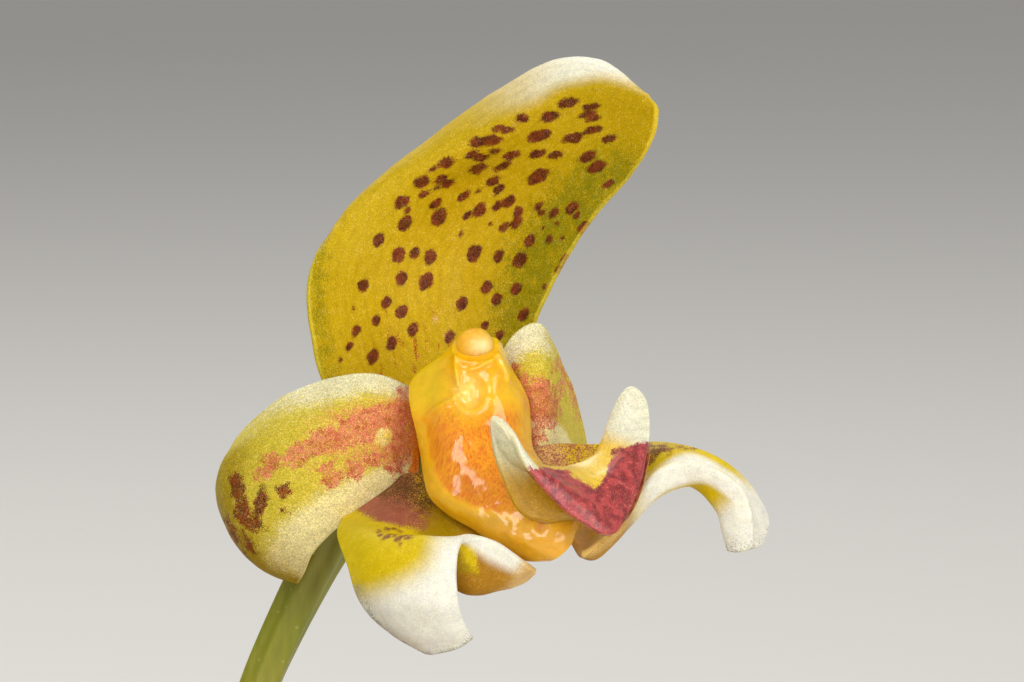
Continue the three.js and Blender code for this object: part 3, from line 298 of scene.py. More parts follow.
COLUMN_FOOT_TOP_LINE = [
    (-1.25, 0.3), (-0.7, 0.6), (-0.1, 0.85), (0.5, 0.5), (1.2, 0.1), (1.8, 0.4), (2.5, 0.75), (4, 1),
]
COLUMN_FOOT_LEFT_LINE = [
    (-1.3, 0.4), (-1.15, -1), (-0.85, -2.3), (-0.2, -3.45), (1, -4.2), (2.75, -4.7), (4, -5),
]


def place_in_pot(points):
    """The flower's points in the pot's frame: turned back by the nod about X, then moved to its place."""
    x, y, z = np.moveaxis(points, -1, 0)
    cos, sin = math.cos(FLOWER_NOD), math.sin(FLOWER_NOD)
    return np.stack([x, y * cos + z * sin, z * cos - y * sin], -1) + FLOWER_AT


def unit(vectors):
    """The vectors divided by their lengths."""
    return vectors / np.maximum(np.linalg.norm(vectors, axis=-1, keepdims=True), 1e-9)


def curve_weights(count, places):
    """What each of count control points gives to a uniform Catmull-Rom curve at places counted in points.

    The curve runs on at both ends as if the next point lay opposite the last but one.
    """
    whole = np.clip(np.floor(places).astype(int), 0, count - 2)
    f = places - whole
    four = [
        -(f**3) / 2 + f**2 - f / 2, 1.5 * f**3 - 2.5 * f**2 + 1,
        -1.5 * f**3 + 2 * f**2 + f / 2, (f**3 - f**2) / 2,
    ]
    wide = np.zeros((len(places), count + 2))
    np.put_along_axis(wide, whole[:, None] + np.arange(4), np.stack(four, -1), -1)
    weights = wide[:, 1:-1].copy()
    for end, inner in ((0, 1), (-1, -2)):
        weights[:, end] += 2 * wide[:, end]
        weights[:, inner] -= wide[:, end]
    return weights


def curve(points, shares):
    """Points of the curve through control points, at shares of the way counted in control points."""
    points = np.asarray(points, float)
    return curve_weights(len(points), shares * (len(points) - 1)) @ points


def even_curve(points, shares):
    """Points of the same curve at shares of its length."""
    dense = np.linspace(0, 1, 801)
    steps = np.linalg.norm(np.diff(curve(points, dense), axis=0), axis=1)
    reached = np.concatenate([[0], np.cumsum(steps)])
    return curve(points, np.interp(shares, reached / reached[-1], dense))


def net_surface(net, u, v):
    """Grid of points on a control net: curves run through its columns, and cross curves through those."""
    net = np.asarray(net, float)
    along, across = (curve_weights(n, shares * (n - 1)) for n, shares in zip(net.shape, (u, v)))
    return np.einsum("ai,bj,ijk->abk", along, across, net)


def grid_normals(grid):
    """Unit normals of a grid of points: the step across times the step along."""
    return unit(np.cross(np.gradient(grid, axis=1), np.gradient(grid, axis=0)))


def step(values, low, high):
    """0 below low, 1 above high and a smooth rise between them; it falls when high is the smaller."""
    t = np.clip((values - low) / (high - low), 0, 1)
    return t * t * (3 - 2 * t)


def bell(values, middle, width):
    """A Gaussian bell: 1 at the middle, and about a third at its width from there."""
    return np.exp(-(((values - middle) / width) ** 2))


def circle(count):
    """Angles of even steps round a full turn."""
    return np.arange(count) / count * 2 * math.pi


def compass(degrees):
    """The level direction at an angle from X toward Y."""
    return np.array([math.cos(math.radians(degrees)), math.sin(math.radians(degrees)), 0.0])


def wheel(radius, turn, level):
    """Points round the upright axis: the radius times the turn's cosine and sine, at a level."""
    return np.stack(np.broadcast_arrays(radius * np.cos(turn), radius * np.sin(turn), level), -1)


def noise(points, size, seed=0):
    """Smooth random heights from -1 to 1: random values at the corners of cubes of a size, blended between."""
    places = np.asarray(points, float) / size
    whole = np.floor(places).astype(np.int64)
    f = places - whole
    f = f * f * (3 - 2 * f)
    total = np.zeros(places.shape[:-1])
    for corner in range(8):
        shift = np.array([corner & 1, corner >> 1 & 1, corner >> 2])
        cell = (whole + shift).astype(np.uint64)
        mixed = (cell * np.array([374761393, 668265263, 2147483629], np.uint64)).sum(-1, dtype=np.uint64)
        mixed = (mixed + np.uint64(seed * 974711 + 17)) & np.uint64(0xFFFFFFFF)
        mixed = ((mixed ^ (mixed >> np.uint64(13))) * np.uint64(1274126177)) & np.uint64(0xFFFFFFFF)
        value = (mixed ^ (mixed >> np.uint64(16))) / 2147483648.0 - 1.0
        total += value * np.prod(np.where(shift, f, 1 - f), axis=-1)
    return total


def rough(points, size, seed=0, octaves=3):
    """Noise over noise of half the size and half the height, octaves times."""
    return sum(noise(points, size / 2**k, seed + k) / 2**k for k in range(octaves))


def grid_quads(rows, columns, ring=False):
    """Four point numbers for each cell of a grid; a ring's last column joins its first."""
    i, j = np.meshgrid(np.arange(rows - 1), np.arange(columns - (0 if ring else 1)), indexing="ij")
    after = (j + 1) % columns
    near, far = i * columns, (i + 1) * columns
    return np.stack([near + j, near + after, far + after, far + j], -1).reshape(-1, 4)


def close_rings(rings):
    """Points and faces of a closed body through rings of points, each end closed by a fan to its middle."""
    rows, sides = rings.shape[:2]
    points = np.concatenate([rings.reshape(-1, 3), rings[:1].mean(1), rings[-1:].mean(1)])
    j = np.arange(sides)
    after = (j + 1) % sides
    start = np.stack([np.full(sides, rows * sides), after, j], -1)
    last = (rows - 1) * sides
    end = np.stack([np.full(sides, rows * sides + 1), last + j, last + after], -1)
    return points, [grid_quads(rows, sides, ring=True), start, end]


def ring_layer(values, ends=(0, 0)):
    """Values on the points of rings, then those of the two end middles."""
    return np.concatenate([np.ravel(values), ends])


def tube_rings(middles, radii, level):
    """Rings square to a path: radius times cosine along the side and sine along the back of each ring.

    The side is square to the path and to level, a direction that the path never takes. Radii is a grid, with
    a number for each point of each ring.
    """
    along = unit(np.gradient(middles, axis=0))
    side = unit(np.cross(level, along))
    back = np.cross(along, side)
    turn = circle(radii.shape[1])[None, :, None]
    across = np.cos(turn) * side[:, None] + np.sin(turn) * back[:, None]
    return middles[:, None] + across * radii[..., None]


def margin_spaced(count):
    """Shares from 0 to 1 that lie closer together at both ends."""
    even = np.linspace(0, 1, count)
    return 0.35 * even + 0.65 * (0.5 - 0.5 * np.cos(math.pi * even))


def split_corners(quads, rows, columns):
    """A grid's quads, but with the four at its corners cut into triangles from the corner inwards."""
    last = (rows - 2) * (columns - 1)
    at = np.array([0, columns - 2, last, last + columns - 2])
    corners = np.array([0, columns - 1, (rows - 1) * columns, rows * columns - 1])
    first = (quads[at] == corners[:, None]).argmax(axis=1)
    turned_quads = np.take_along_axis(quads[at], (first[:, None] + np.arange(4)) % 4, axis=1)
    return np.delete(quads, at, axis=0), turned_quads[:, [[0, 1, 2], [0, 2, 3]]].reshape(-1, 3)


def walked(grid, axis):
    """Millimetres walked along an axis of a grid of points, from its first point."""
    steps = np.diff(grid, axis=axis, prepend=grid.take([0], axis))
    return np.cumsum(np.linalg.norm(steps, axis=2), axis=axis)


def blade(middle, thickness, layers, front_relief=0.0, back_relief=0.0, normals=None):
    """Points, faces and layers of a closed thin blade about a middle surface.

    Each face lies half the thickness off along the normal, and falls to nothing at the margin as a quarter
    circle does. The relief is added to a face away from the margin. Normals of a smoother surface can be
    given. A layer is a grid, or one for each face where they differ, and is spread to the blade's points.
    """
    rows, columns = shape = middle.shape[:2]
    normals = grid_normals(middle) if normals is None else normals
    along, across = walked(middle, 0), walked(middle, 1)
    inwards = np.minimum.reduce([across, across[:, -1:] - across, along, along[-1:] - along])
    half = thickness / 2 * np.ones(shape)
    share = np.clip(inwards / np.maximum(half, 1e-6), 0, 1)
    height = half * np.sqrt(1 - (1 - share) ** 2)
    front = middle + normals * (height + front_relief * share)[..., None]
    back = middle - normals * (height + back_relief * share)[..., None]
    behind = np.arange(rows * columns).reshape(shape)
    inner = behind[1:-1, 1:-1]
    inner[:] = rows * columns + np.arange(inner.size).reshape(inner.shape)
    parts = split_corners(grid_quads(rows, columns), rows, columns)
    faces = [*parts, *(behind.ravel()[part[:, ::-1]] for part in parts)]
    points = np.concatenate([front.reshape(-1, 3), back[1:-1, 1:-1].reshape(-1, 3)])
    spread = {}
    for layer, grids in {**layers, "inwards": inwards, "vein_place": across}.items():
        before, after = (
            np.broadcast_to(grid, shape) for grid in (grids if isinstance(grids, tuple) else (grids, grids))
        )
        spread[layer] = np.concatenate([before.ravel(), after[1:-1, 1:-1].ravel()])
    return points, faces, spread


def line_distance(points, line):
    """Millimetres, seen from the front, from points to a smooth line through (x, z): above 0 on its left."""
    x, z = points[..., 0], points[..., 2]
    dense = curve(line, np.linspace(0, 1, 12 * len(line)))
    runs = unit(np.gradient(dense, axis=0))
    nearest = np.full(x.shape, 99.0)
    side = np.ones(x.shape)
    for (at_x, at_z), (run_x, run_z) in zip(dense, runs):
        off = np.hypot(x - at_x, z - at_z)
        side = np.where(off < nearest, np.sign(run_x * (z - at_z) - run_z * (x - at_x)), side)
        nearest = np.minimum(nearest, off)
    return nearest * side


def ridge(points, line, width, height):
    """Height that rises to a rounded crest along a line seen from the front, and fades over its width."""
    return height * bell(line_distance(points, line), 0, width)


def dome(points, at, size, height):
    """Height of a round swelling at (x, z), with half sizes in x and z: a Gaussian bell."""
    away = ((points[..., 0] - at[0]) / size[0]) ** 2 + ((points[..., 2] - at[1]) / size[1]) ** 2
    return height * np.exp(-away)


def spot_lean(x, z, length):
    """A spot's half width and rise: drawn out along the veins, which lie flatter toward the tip."""
    width = length * (0.72 - 0.26 * step(z, 9, 14.5))
    return width, 62 - 50 * step(z, 8.5, 14.3) - 14 * step(x, 2, 6) * step(z, 10, 6)


def mark_distance(middle, marks):
    """Millimetres from each grid point to the edge of the nearest mark, less than 0 inside it, and 2 at most.

    A mark is an ellipse as it shows from the front: its middle (x, z), half its length, half its width and
    the degrees by which its length rises to the right. Where the last two aren't given, they are a spot's.
    The ellipse's own radius, less 1, times its half width gives the distance. Points well before or behind
    the mark's middle don't take it.
    """
    x, y, z = np.moveaxis(middle, -1, 0)
    nearest = np.full(x.shape, 2.0)
    for mark_x, mark_z, length, *rest in marks:
        width, rise = rest or spot_lean(mark_x, mark_z, length)
        off_x, off_z = x - mark_x, z - mark_z
        off = np.hypot(off_x, off_z)
        level = y.flat[np.argmin(off + 0.02 * y)]
        deep = np.maximum(0, np.abs(y - level) - 0.6 - 1.5 * off)
        cos, sin = math.cos(math.radians(rise)), math.sin(math.radians(rise))
        radius = np.hypot((off_x * cos + off_z * sin) / length, (off_z * cos - off_x * sin) / width)
        nearest = np.minimum(nearest, (radius + 2 * deep - 1) * width)
    return np.clip(nearest, -1.0, 2.0)


def make_piece(name, points, faces, finish, layers, node, slot):
    """A mesh object in metres at the origin, with a number for each point in every layer, on the root."""
    mesh = bpy.data.meshes.new(name)
    corners = np.concatenate([face.ravel() for face in faces]).astype(np.int32)
    sizes = np.concatenate([np.full(len(face), face.shape[1]) for face in faces])
    mesh.vertices.add(len(points))
    mesh.vertices.foreach_set("co", (points * MM).astype(np.float32).ravel())
    mesh.loops.add(len(corners))
    mesh.loops.foreach_set("vertex_index", corners)
    mesh.polygons.add(len(sizes))
    mesh.polygons.foreach_set("loop_start", (np.cumsum(sizes) - sizes).astype(np.int32))
    mesh.update(calc_edges=True)
    mesh.validate()
    mesh.shade_smooth()
    for layer, values in layers.items():
        attribute = mesh.attributes.new(layer, "FLOAT", "POINT")
        attribute.data.foreach_set("value", values.astype(np.float32).ravel())
    mesh.materials.append(finish)
    piece = bpy.data.objects.new(name, mesh)
    bpy.context.scene.collection.objects.link(piece)
    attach(piece, "root")
    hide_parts(node)


def join_parts(parts):
    """Points, faces and layers of several bodies as one; every part has the same layers."""
    points, faces, layers, count = [], [], {}, 0
    for part_points, part_faces, part_layers in parts:
        points.append(part_points)
        faces.extend(face + count for face in part_faces)
        for name, values in part_layers.items():
            layers.setdefault(name, []).append(values)
        count += len(part_points)
    return np.concatenate(points), faces, {name: np.concatenate(values) for name, values in layers.items()}


def weld(points, faces):
    """The same faces, with points that lie at one place to a thousandth of a millimetre made one."""
    _, first, number = np.unique(np.round(points, 3), axis=0, return_index=True, return_inverse=True)
    return points[first], [number.ravel()[face] for face in faces]


def colour(code):
    """A colour's linear light, with full alpha, from its hexadecimal screen code."""
    screen = [int(code[i : i + 2], 16) / 255 for i in (1, 3, 5)]
    return tuple(c / 12.92 if c <= 0.04045 else ((c + 0.055) / 1.055) ** 2.4 for c in screen) + (1.0,)


class Shading:
    """A node tree with short calls for its nodes. A socket, a number or a colour's code feeds an input."""

    def __init__(self, tree, given=None):
        self.tree, self.given = tree, given

    def feed(self, socket, value):
        if isinstance(value, bpy.types.NodeSocket):
            self.tree.links.new(value, socket)
        else:
            socket.default_value = colour(value) if isinstance(value, str) else value

    def add(self, kind, inputs, output=0, **settings):
        node = self.tree.nodes.new("ShaderNode" + kind)
        for setting, value in settings.items():
            setattr(node, setting, value)
        for key, value in inputs.items():
            self.feed(node.inputs[key], value)
        return node.outputs[output]

    def math(self, operation, a, b=0.0, c=0.0):
        return self.add("Math", {0: a, 1: b, 2: c}, operation=operation)

    def times(self, a, b):
        return self.math("MULTIPLY", a, b)

    def linear(self, value, gain, start):
        return self.math("MULTIPLY_ADD", value, gain, start)

    def smooth(self, value, low, high):
        limits = {"Value": value, "From Min": low, "From Max": high}
        return self.add("MapRange", limits, interpolation_type="SMOOTHSTEP")

    def layer(self, name):
        return self.add("Attribute", {}, output="Fac", attribute_name=name)

    def place(self):
        """Object coordinates, which a group is given."""
        return self.given["Place"] if self.given else self.add("TexCoord", {}, output="Object")

    def stretched(self, level, upright, at=None):
        """The place times one scale along X and Y and another along Z."""
        inputs = {"Vector": at or self.place(), "Scale": (level, level, upright)}
        return self.add("Mapping", inputs, vector_type="POINT")

    def noise(self, scale, detail=2.0, at=None):
        inputs = {"Vector": at or self.place(), "Scale": scale, "Detail": detail}
        return self.add("TexNoise", inputs, output="Fac")

    def cells(self, scale, output="Distance"):
        return self.add("TexVoronoi", {"Vector": self.place(), "Scale": scale}, output=output)

    def cell_chance(self, output):
        """A random number for each of the flower's cells; in the grain it also picks the few with painted
        glints.
        """
        return self.add("SeparateColor", {"Color": self.cells(CELL_SCALE, "Color")}, output=output)

    def mix(self, factor, a, b):
        return self.add("Mix", {0: factor, 6: a, 7: b}, output=2, data_type="RGBA")

    def mottled(self, value, low, high, a, b):
        """Two colours that meet where a value passes from low to high."""
        return self.mix(self.smooth(value, low, high), a, b)

    def coat(self, tone, code, mask, share=1.0):
        """The tone with a colour laid over it, by a share of the mask."""
        return self.mix(self.times(mask, share), tone, code)

    def scaled(self, tone, scale):
        return self.add("VectorMath", {0: tone, "Scale": scale}, operation="SCALE")

    def use(self, group, output, **inputs):
        node = self.tree.nodes.new("ShaderNodeGroup")
        node.node_tree = group
        if "Place" in node.inputs:
            inputs["Place"] = self.place()
        for key, value in inputs.items():
            self.feed(node.inputs[key], value)
        return [node.outputs[name] for name in output] if isinstance(output, tuple) else node.outputs[output]

    def grained_with_glints(self, tone, speckle_and_glint):
        """The tone broken up by the flower's cells, with painted glints on a few, and their roughness and
        height.
        """
        return self.use(CELL_GRAIN_AND_GLINT, ("Colour", "Roughness", "Height"), Colour=tone, Speckle=speckle_and_glint)

    def give(self, **results):
        """Feeds a group's outputs and returns the group."""
        output = self.tree.nodes.new("NodeGroupOutput").inputs
        for name, value in results.items():
            self.feed(output[name], value)
        return self.tree


def new_group(name, inputs, outputs):
    """The shading of a new shader group, and its inputs by name."""
    group = bpy.data.node_groups.new(name, "ShaderNodeTree")
    for sockets, way in ((inputs, "INPUT"), (outputs, "OUTPUT")):
        for socket, kind in sockets.items():
            group.interface.new_socket(name=socket, in_out=way, socket_type="NodeSocket" + kind)
    given = group.nodes.new("NodeGroupInput").outputs
    return Shading(group, given), given


def cell_grain_and_glint_group():
    """Cells of a petal: each cell is a little lighter or darker, and a few are painted pale as glints, a
    painted highlight.
    """
    s, given = new_group(
        "cell_grain_and_glint", {"Place": "Vector", "Colour": "Color", "Speckle": "Float"},
        {"Colour": "Color", "Roughness": "Float", "Height": "Float"},
    )
    chance = s.cell_chance("Red")
    mottle = s.noise(2200.0, 3.0)
    uneven = s.linear(s.math("SUBTRACT", chance, 0.5), given["Speckle"], 1.0)
    ground = s.scaled(given["Colour"], s.math("ADD", uneven, s.linear(mottle, 0.3, -0.15)))
    # painted glints: a few cells made pale in the colour itself, a painted highlight
    painted_glint = s.times(s.smooth(chance, 0.86, 1.0), s.smooth(mottle, 0.3, 0.7))
    painted_glint_colour = s.mix(0.7, s.scaled(given["Colour"], 1.5), "#fff6d0")
    return s.give(
        Colour=s.mix(s.times(painted_glint, given["Speckle"]), ground, painted_glint_colour),
        Roughness=s.linear(chance, 0.25, 0.35), Height=s.times(s.cells(CELL_SCALE), -1.0),
    )


def ragged_mark_group():
    """A mark's mask from the millimetres to its edge: the edge frays, and the mark thins over its ground."""
    inputs = {"Place": "Vector", "Edge": "Float", "Fray": "Float", "Thin": "Float"}
    s, given = new_group("ragged_mark", inputs, {"Mask": "Float"})
    wavy = s.math("SUBTRACT", s.noise(2600.0, 4.0), 0.5)
    cell = s.cell_chance("Green")
    rough_edge = s.linear(s.math("SUBTRACT", cell, 0.5), 0.25, wavy)
    frayed = s.linear(rough_edge, given["Fray"], given["Edge"])
    gaps = s.times(s.smooth(s.linear(wavy, 0.9, cell), 0.35, 0.75), given["Thin"])
    return s.give(Mask=s.times(s.smooth(frayed, 0.08, -0.04), s.math("SUBTRACT", 1.0, gaps)))


def grainy_zone_group():
    """A soft zone's mask broken up by fine grain: the more grain, the more its edge scatters."""
    inputs = {"Place": "Vector", "Zone": "Float", "Grain": "Float"}
    s, given = new_group("grainy_zone", inputs, {"Mask": "Float"})
    fine, broad = (s.math("SUBTRACT", s.noise(scale, 3.0), 0.5) for scale in (14000.0, 1600.0))
    scattered = s.linear(s.linear(broad, 0.8, s.times(fine, 2.0)), given["Grain"], given["Zone"])
    return s.give(Mask=s.times(s.smooth(scattered, 0.3, 0.75), s.smooth(given["Zone"], 0.0, 0.12)))


def fine_veins_group():
    """Lines that run along a blade at a spacing in millimetres across it: 1 on a line and 0 between."""
    s, given = new_group("fine_veins", {"Across": "Float", "Spacing": "Float"}, {"Line": "Float"})
    turns = s.math("DIVIDE", given["Across"], given["Spacing"])
    return s.give(Line=s.smooth(s.math("COSINE", s.times(turns, 2 * math.pi)), 0.2, 1.0))


CELL_GRAIN_AND_GLINT = cell_grain_and_glint_group()
RAGGED_MARK = ragged_mark_group()
GRAINY_ZONE = grainy_zone_group()
FINE_VEINS = fine_veins_group()


class Finish(Shading):
    """A material's shading over one Principled shader, whose own sockets hold the constants.

    Flesh is the share of light that goes under the surface, how far red, green and blue reach there, and the
    scale of that in metres. Gloss is the clear coat's weight and its roughness.
    """

    def __init__(self, name, flesh=(), gloss=(), **constants):
        self.material = bpy.data.materials.new(name)
        self.material.use_nodes = True
        super().__init__(self.material.node_tree)
        self.shader = self.tree.nodes["Principled BSDF"].inputs
        constants.update(zip(("Subsurface_Weight", "Subsurface_Radius", "Subsurface_Scale"), flesh))
        constants.update(zip(("Coat_Weight", "Coat_Roughness"), gloss))
        for socket, value in constants.items():
            self.feed(self.shader[socket.replace("_", " ")], value)

    def put(self, tone, roughness, height, strength, depth):
        """The material, with its colour, its roughness and the relief of a height fed to the shader."""
        bump = {"Height": height, "Strength": strength, "Distance": depth}
        self.feed(self.shader["Base Color"], tone)
        self.feed(self.shader["Roughness"], roughness)
        self.feed(self.shader["Normal"], self.add("Bump", bump, output="Normal"))
        return self.material


def tepal_finish(name, ground, zones, marks, speckle_and_glint, vein, rim=0.35, gloss=(0.05, 0.3)):
    """A waxy, translucent tepal: a ground colour, zones, ragged marks, veins, a pale edge, and cells with
    painted glints.

    A zone is its layer, its colour and how much its edge scatters; a mark is its layer, two colours that
    mottle it, how far its edge frays and how much its ground shows through.
    """
    s = Finish(name, flesh=(0.4, (1.0, 0.75, 0.2), 0.0005), gloss=gloss, Specular_IOR_Level=0.12)
    tone = ground
    for layer, code, grain in zones:
        mask = s.layer(layer)
        if grain:
            mask = s.use(GRAINY_ZONE, "Mask", Zone=mask, Grain=grain)
        tone = s.mix(mask, tone, code)
    line = s.use(FINE_VEINS, "Line", Across=s.layer("vein_place"), Spacing=VEIN_SPACING)
    tone = s.scaled(tone, s.linear(line, -vein, 1.0))
    mottle = s.smooth(s.noise(2300.0, 3.0), 0.4, 0.62)
    for layer, code, deep, fray, thin in marks:
        mask = s.use(RAGGED_MARK, "Mask", Edge=s.layer(layer), Fray=fray, Thin=thin)
        tone = s.mix(mask, tone, s.mix(mottle, code, deep))
    tone = s.coat(tone, "#f2dc4a", s.smooth(s.layer("inwards"), 0.12, 0.04), rim)
    return s.put(*s.grained_with_glints(tone, speckle_and_glint), 0.45, 0.00005)


def flower_blade(node, net, size, thickness, finish, zones, marks, relief=None):
    """A tepal or the lip: its net's surface with a little random ripple, made a thin blade with its layers.

    Zones takes the shares along and across and the points, and gives masks by layer; marks are lists of
    ellipses by layer. The slot, the node's name without its side, is passed to make_piece, which doesn't use
    it.
    """
    u, v = margin_spaced(size[0]), margin_spaced(size[1])
    middle = net_surface(net, u, v)
    normals = grid_normals(middle)
    ripple = 0.05 * rough(middle, 1.4, seed=5, octaves=2)
    middle = middle + normals * ripple[..., None]
    shares = np.meshgrid(u, v, indexing="ij")
    layers = zones(*shares, middle) | {layer: mark_distance(middle, each) for layer, each in marks.items()}
    depth = thickness(*shares) if callable(thickness) else thickness
    bumps = relief(middle) if relief else 0.0
    points, faces, layers = blade(middle, depth, layers, bumps, -bumps, normals)
    slot = node.removesuffix("_left").removesuffix("_right")
    make_piece(node + "_blade", place_in_pot(points), faces, finish, layers, node, slot)


def dorsal_zones(u, v, middle):
    """Cream above the crest near the tip, a painted highlight where the curled tip faces up toward the light;
    olive at the sides, painted shade as of darkness seen through the thin tissue; brown streaks and pale
    papillae at the base.
    """
    grain = rough(np.stack([v * 45, u * 34, u * 0], -1), 1.0, seed=3)
    x, z = middle[..., 0], middle[..., 2]
    above = line_distance(middle, DORSAL_CREST)
    cream = (0.55 * step(x, 0.5, 5) + 0.45 * step(x, 3.5, 6.5)) * step(x, 10.2, 9.3)
    # sides: where the olive zone's painted shade lies, as of darkness seen through the thin tissue
    sides = np.maximum(step(v, 0.6, 0.9) * step(u, 0.85, 0.6), 0.8 * step(v, 0.34, 0.06) * step(u, 0.7, 0.4))
    left, right = np.hypot((x + 0.8) / 0.6, z - 4.9), np.hypot(x + 0.1, z - 4.1)
    return {
        "band": step(v, 0.44, 0.34) * step(u, 0.2, 0.4) * 0.7,
        # olive: painted shade at the sides
        "olive": 0.62 * sides,
        # pale: a painted highlight where the curled tip faces up toward the light
        "pale": step(above, -0.1, 0.8) * cream,
        "streak": 0.6 * step(u, 0.33, 0.14) * step(np.abs(v - 0.5), 0.36, 0.1) * step(grain, 0.1, 0.6),
        "papillae": 0.5 * (step(right, 0.5, 0.1) + step(left, 0.55, 0.1)),
    }


def left_petal_zones(u, v, middle):
    """Silvery above, green-yellow in the middle, cream below, olive at the tip and orange at the base."""
    return {
        "olive": 0.9 * step(u, 0.42, 0.75) + 0.35 * step(v, 0.08, 0.25) * step(v, 0.55, 0.3),
        "silver": step(v, 0.46, 0.02) * (0.4 * step(u, 0.9, 0.5) + 0.55 * step(u, 0.55, 0.2)),
        "cream": 0.85 * step(v, 0.55, 0.85) * step(u, 0.85, 0.45),
        "warm": 0.7 * step(u, 0.1, 0.02) * step(v, 0.1, 0.3),
        "blush": 0.55 * step(u, 0.55, 0.15) * step(v, 0.15, 0.35) * step(v, 0.85, 0.6),
    }


def right_petal_zones(u, v, middle):
    """Cream-white above and below, yellow-green toward the far margin and orange at the very base."""
    return {
        "olive": 0.35 * step(u, 0.3, 0.62) * step(v, 0.8, 0.55),
        "silver": 0.95 * step(v, 0.42, 0.12) * step(u, 0.6, 0.2),
        "cream": 0.9 * step(v, 0.6, 0.82) * step(u, 1.0, 0.75),
        "warm": 0.6 * step(u, 0.08, 0.02),
        "blush": 0.5 * step(u, 0.6, 0.3) * step(v, 0.35, 0.5) * step(v, 0.9, 0.7),
    }


def left_lateral_zones(u, v, middle):
    """Inside: purple-brown at the base, with painted shade deeper in its hollow, yellow, then cream-white;
    outside: olive, tan and a peach end.
    """
    base = step(u, 0.55, 0.42)
    x, z = middle[..., 0], middle[..., 2]
    white = step(line_distance(middle, LEFT_LATERAL_WHITE_LINE), -0.75, 0.75)
    from_line = line_distance(middle, LEFT_LATERAL_PURPLE_LINE)
    purple = step(from_line, 0.3, -0.3) * base * step(x, 0.4, -2.6)
    # deep: painted shade deeper in the hollow of the base
    deep = step(from_line, -0.2, -1.6) * base * step(x, 1.0, -1.0)
    near = step(u, 0.5, 0.4)
    margin = step(v, 0.89, 0.95) * step(u, 0.02, 0.16)
    specks = step(u, 0.55, 0.75) * np.maximum(step(v, 0.2, 0.02), step(u, 0.93, 1.0))
    return {
        "white": (np.maximum(1 - near, margin), white * step(u, 0.24, 0.38)),
        "purple": (0, 0.95 * purple),
        "deep": (0, 0.62 * deep),
        "olive": (0.7 * near * step(v, 0.92, 0.8), base * step(x, -2.6, -0.6)),
        "tan": (near * np.maximum(step(z, -6.8, -7.8), step(x, 0.8, 1.8)), 0.5 * base * step(x, -1, 1)),
        "peach": (0.9 * step(u, 0.26, 0.06), 0),
        "specks": 0.55 * specks,
    }


def right_lateral_zones(u, v, middle):
    """Inside: purple-brown at the base with painted shade in its hollow, a yellow band over a white one;
    outside: amber, then white.
    """
    white = step(line_distance(middle, RIGHT_LATERAL_WHITE_LINE), 0.1, -0.25)
    tip = step(u, 0.68, 0.82)
    outside = step(u, 0.2, 0.38)
    near_margin = step(v, 0.7, 0.82)
    return {
        "white": (np.maximum(white * step(u, 0.1, 0.3), tip), np.maximum(outside * near_margin, tip)),
        "purple": (0.52 * step(u, 0.34, 0.24) * step(v, 0.5, 0.35), 0),
        # deep: painted shade in the hollow at the base
        "deep": (0.5 * step(u, 0.16, 0.3) * step(u, 0.36, 0.3) * step(v, 0.3, 0.1), 0),
        "olive": (0, 0.3 * outside * (1 - near_margin)),
        "tan": (0, (1 - outside) * 0.9),
        "peach": (0.75 * step(u, 0.24, 0.1), 0.6 * (1 - outside) * step(v, 0.7, 0.95)),
        "specks": 0.35 * step(u, 0.85, 1.0),
    }


def lip_zones(u, v, middle):
    """Above: cream wings, a yellow valley and maroon before the line; below: amber, grey-green at the left."""
    x, z = middle[..., 0], middle[..., 2]
    before = line_distance(middle, LIP_MAROON_LINE)
    maroon = np.clip(np.maximum(before, np.maximum(3.85 - x, 2 * (0.5 - u))), -1, 2)
    wing_right = step(z + 0.4 * (x - 8), -1.6, -0.3) * step(x, 6.6, 7.3)
    wing_left = step(z, -3.2, -1.2) * step(x, 4.4, 3.6)
    off_rim = step(np.minimum(np.minimum(v, 1 - v), 1 - u), 0.08, 0.13)
    return {
        "cream": (np.maximum(wing_right, 0.9 * wing_left), np.maximum(wing_right, step(v, 0.22, 0.06))),
        "amber": (np.maximum(0, 1 - 1.1 * np.maximum(wing_right, wing_left)), 0),
        "grey": (0.5 * step(z, -3.6, -1.5) * step(z, -0.3, -1.5) * step(x, 4.4, 3.6), 0),
        "maroon": (maroon + 3 * off_rim, maroon),
    }


def lip_thickness(u, v):
    """Fleshy, and thickest in the middle near the claw."""
    return 0.42 + 1.2 * np.sin(math.pi * v) ** 4 * np.maximum(0, 1 - 1.8 * u)


def callus_relief(middle):
    """The low clear callus near the left petal's base."""
    return dome(middle, LEFT_PETAL_CALLUS[0][:2], (0.35, 0.4), -0.14)


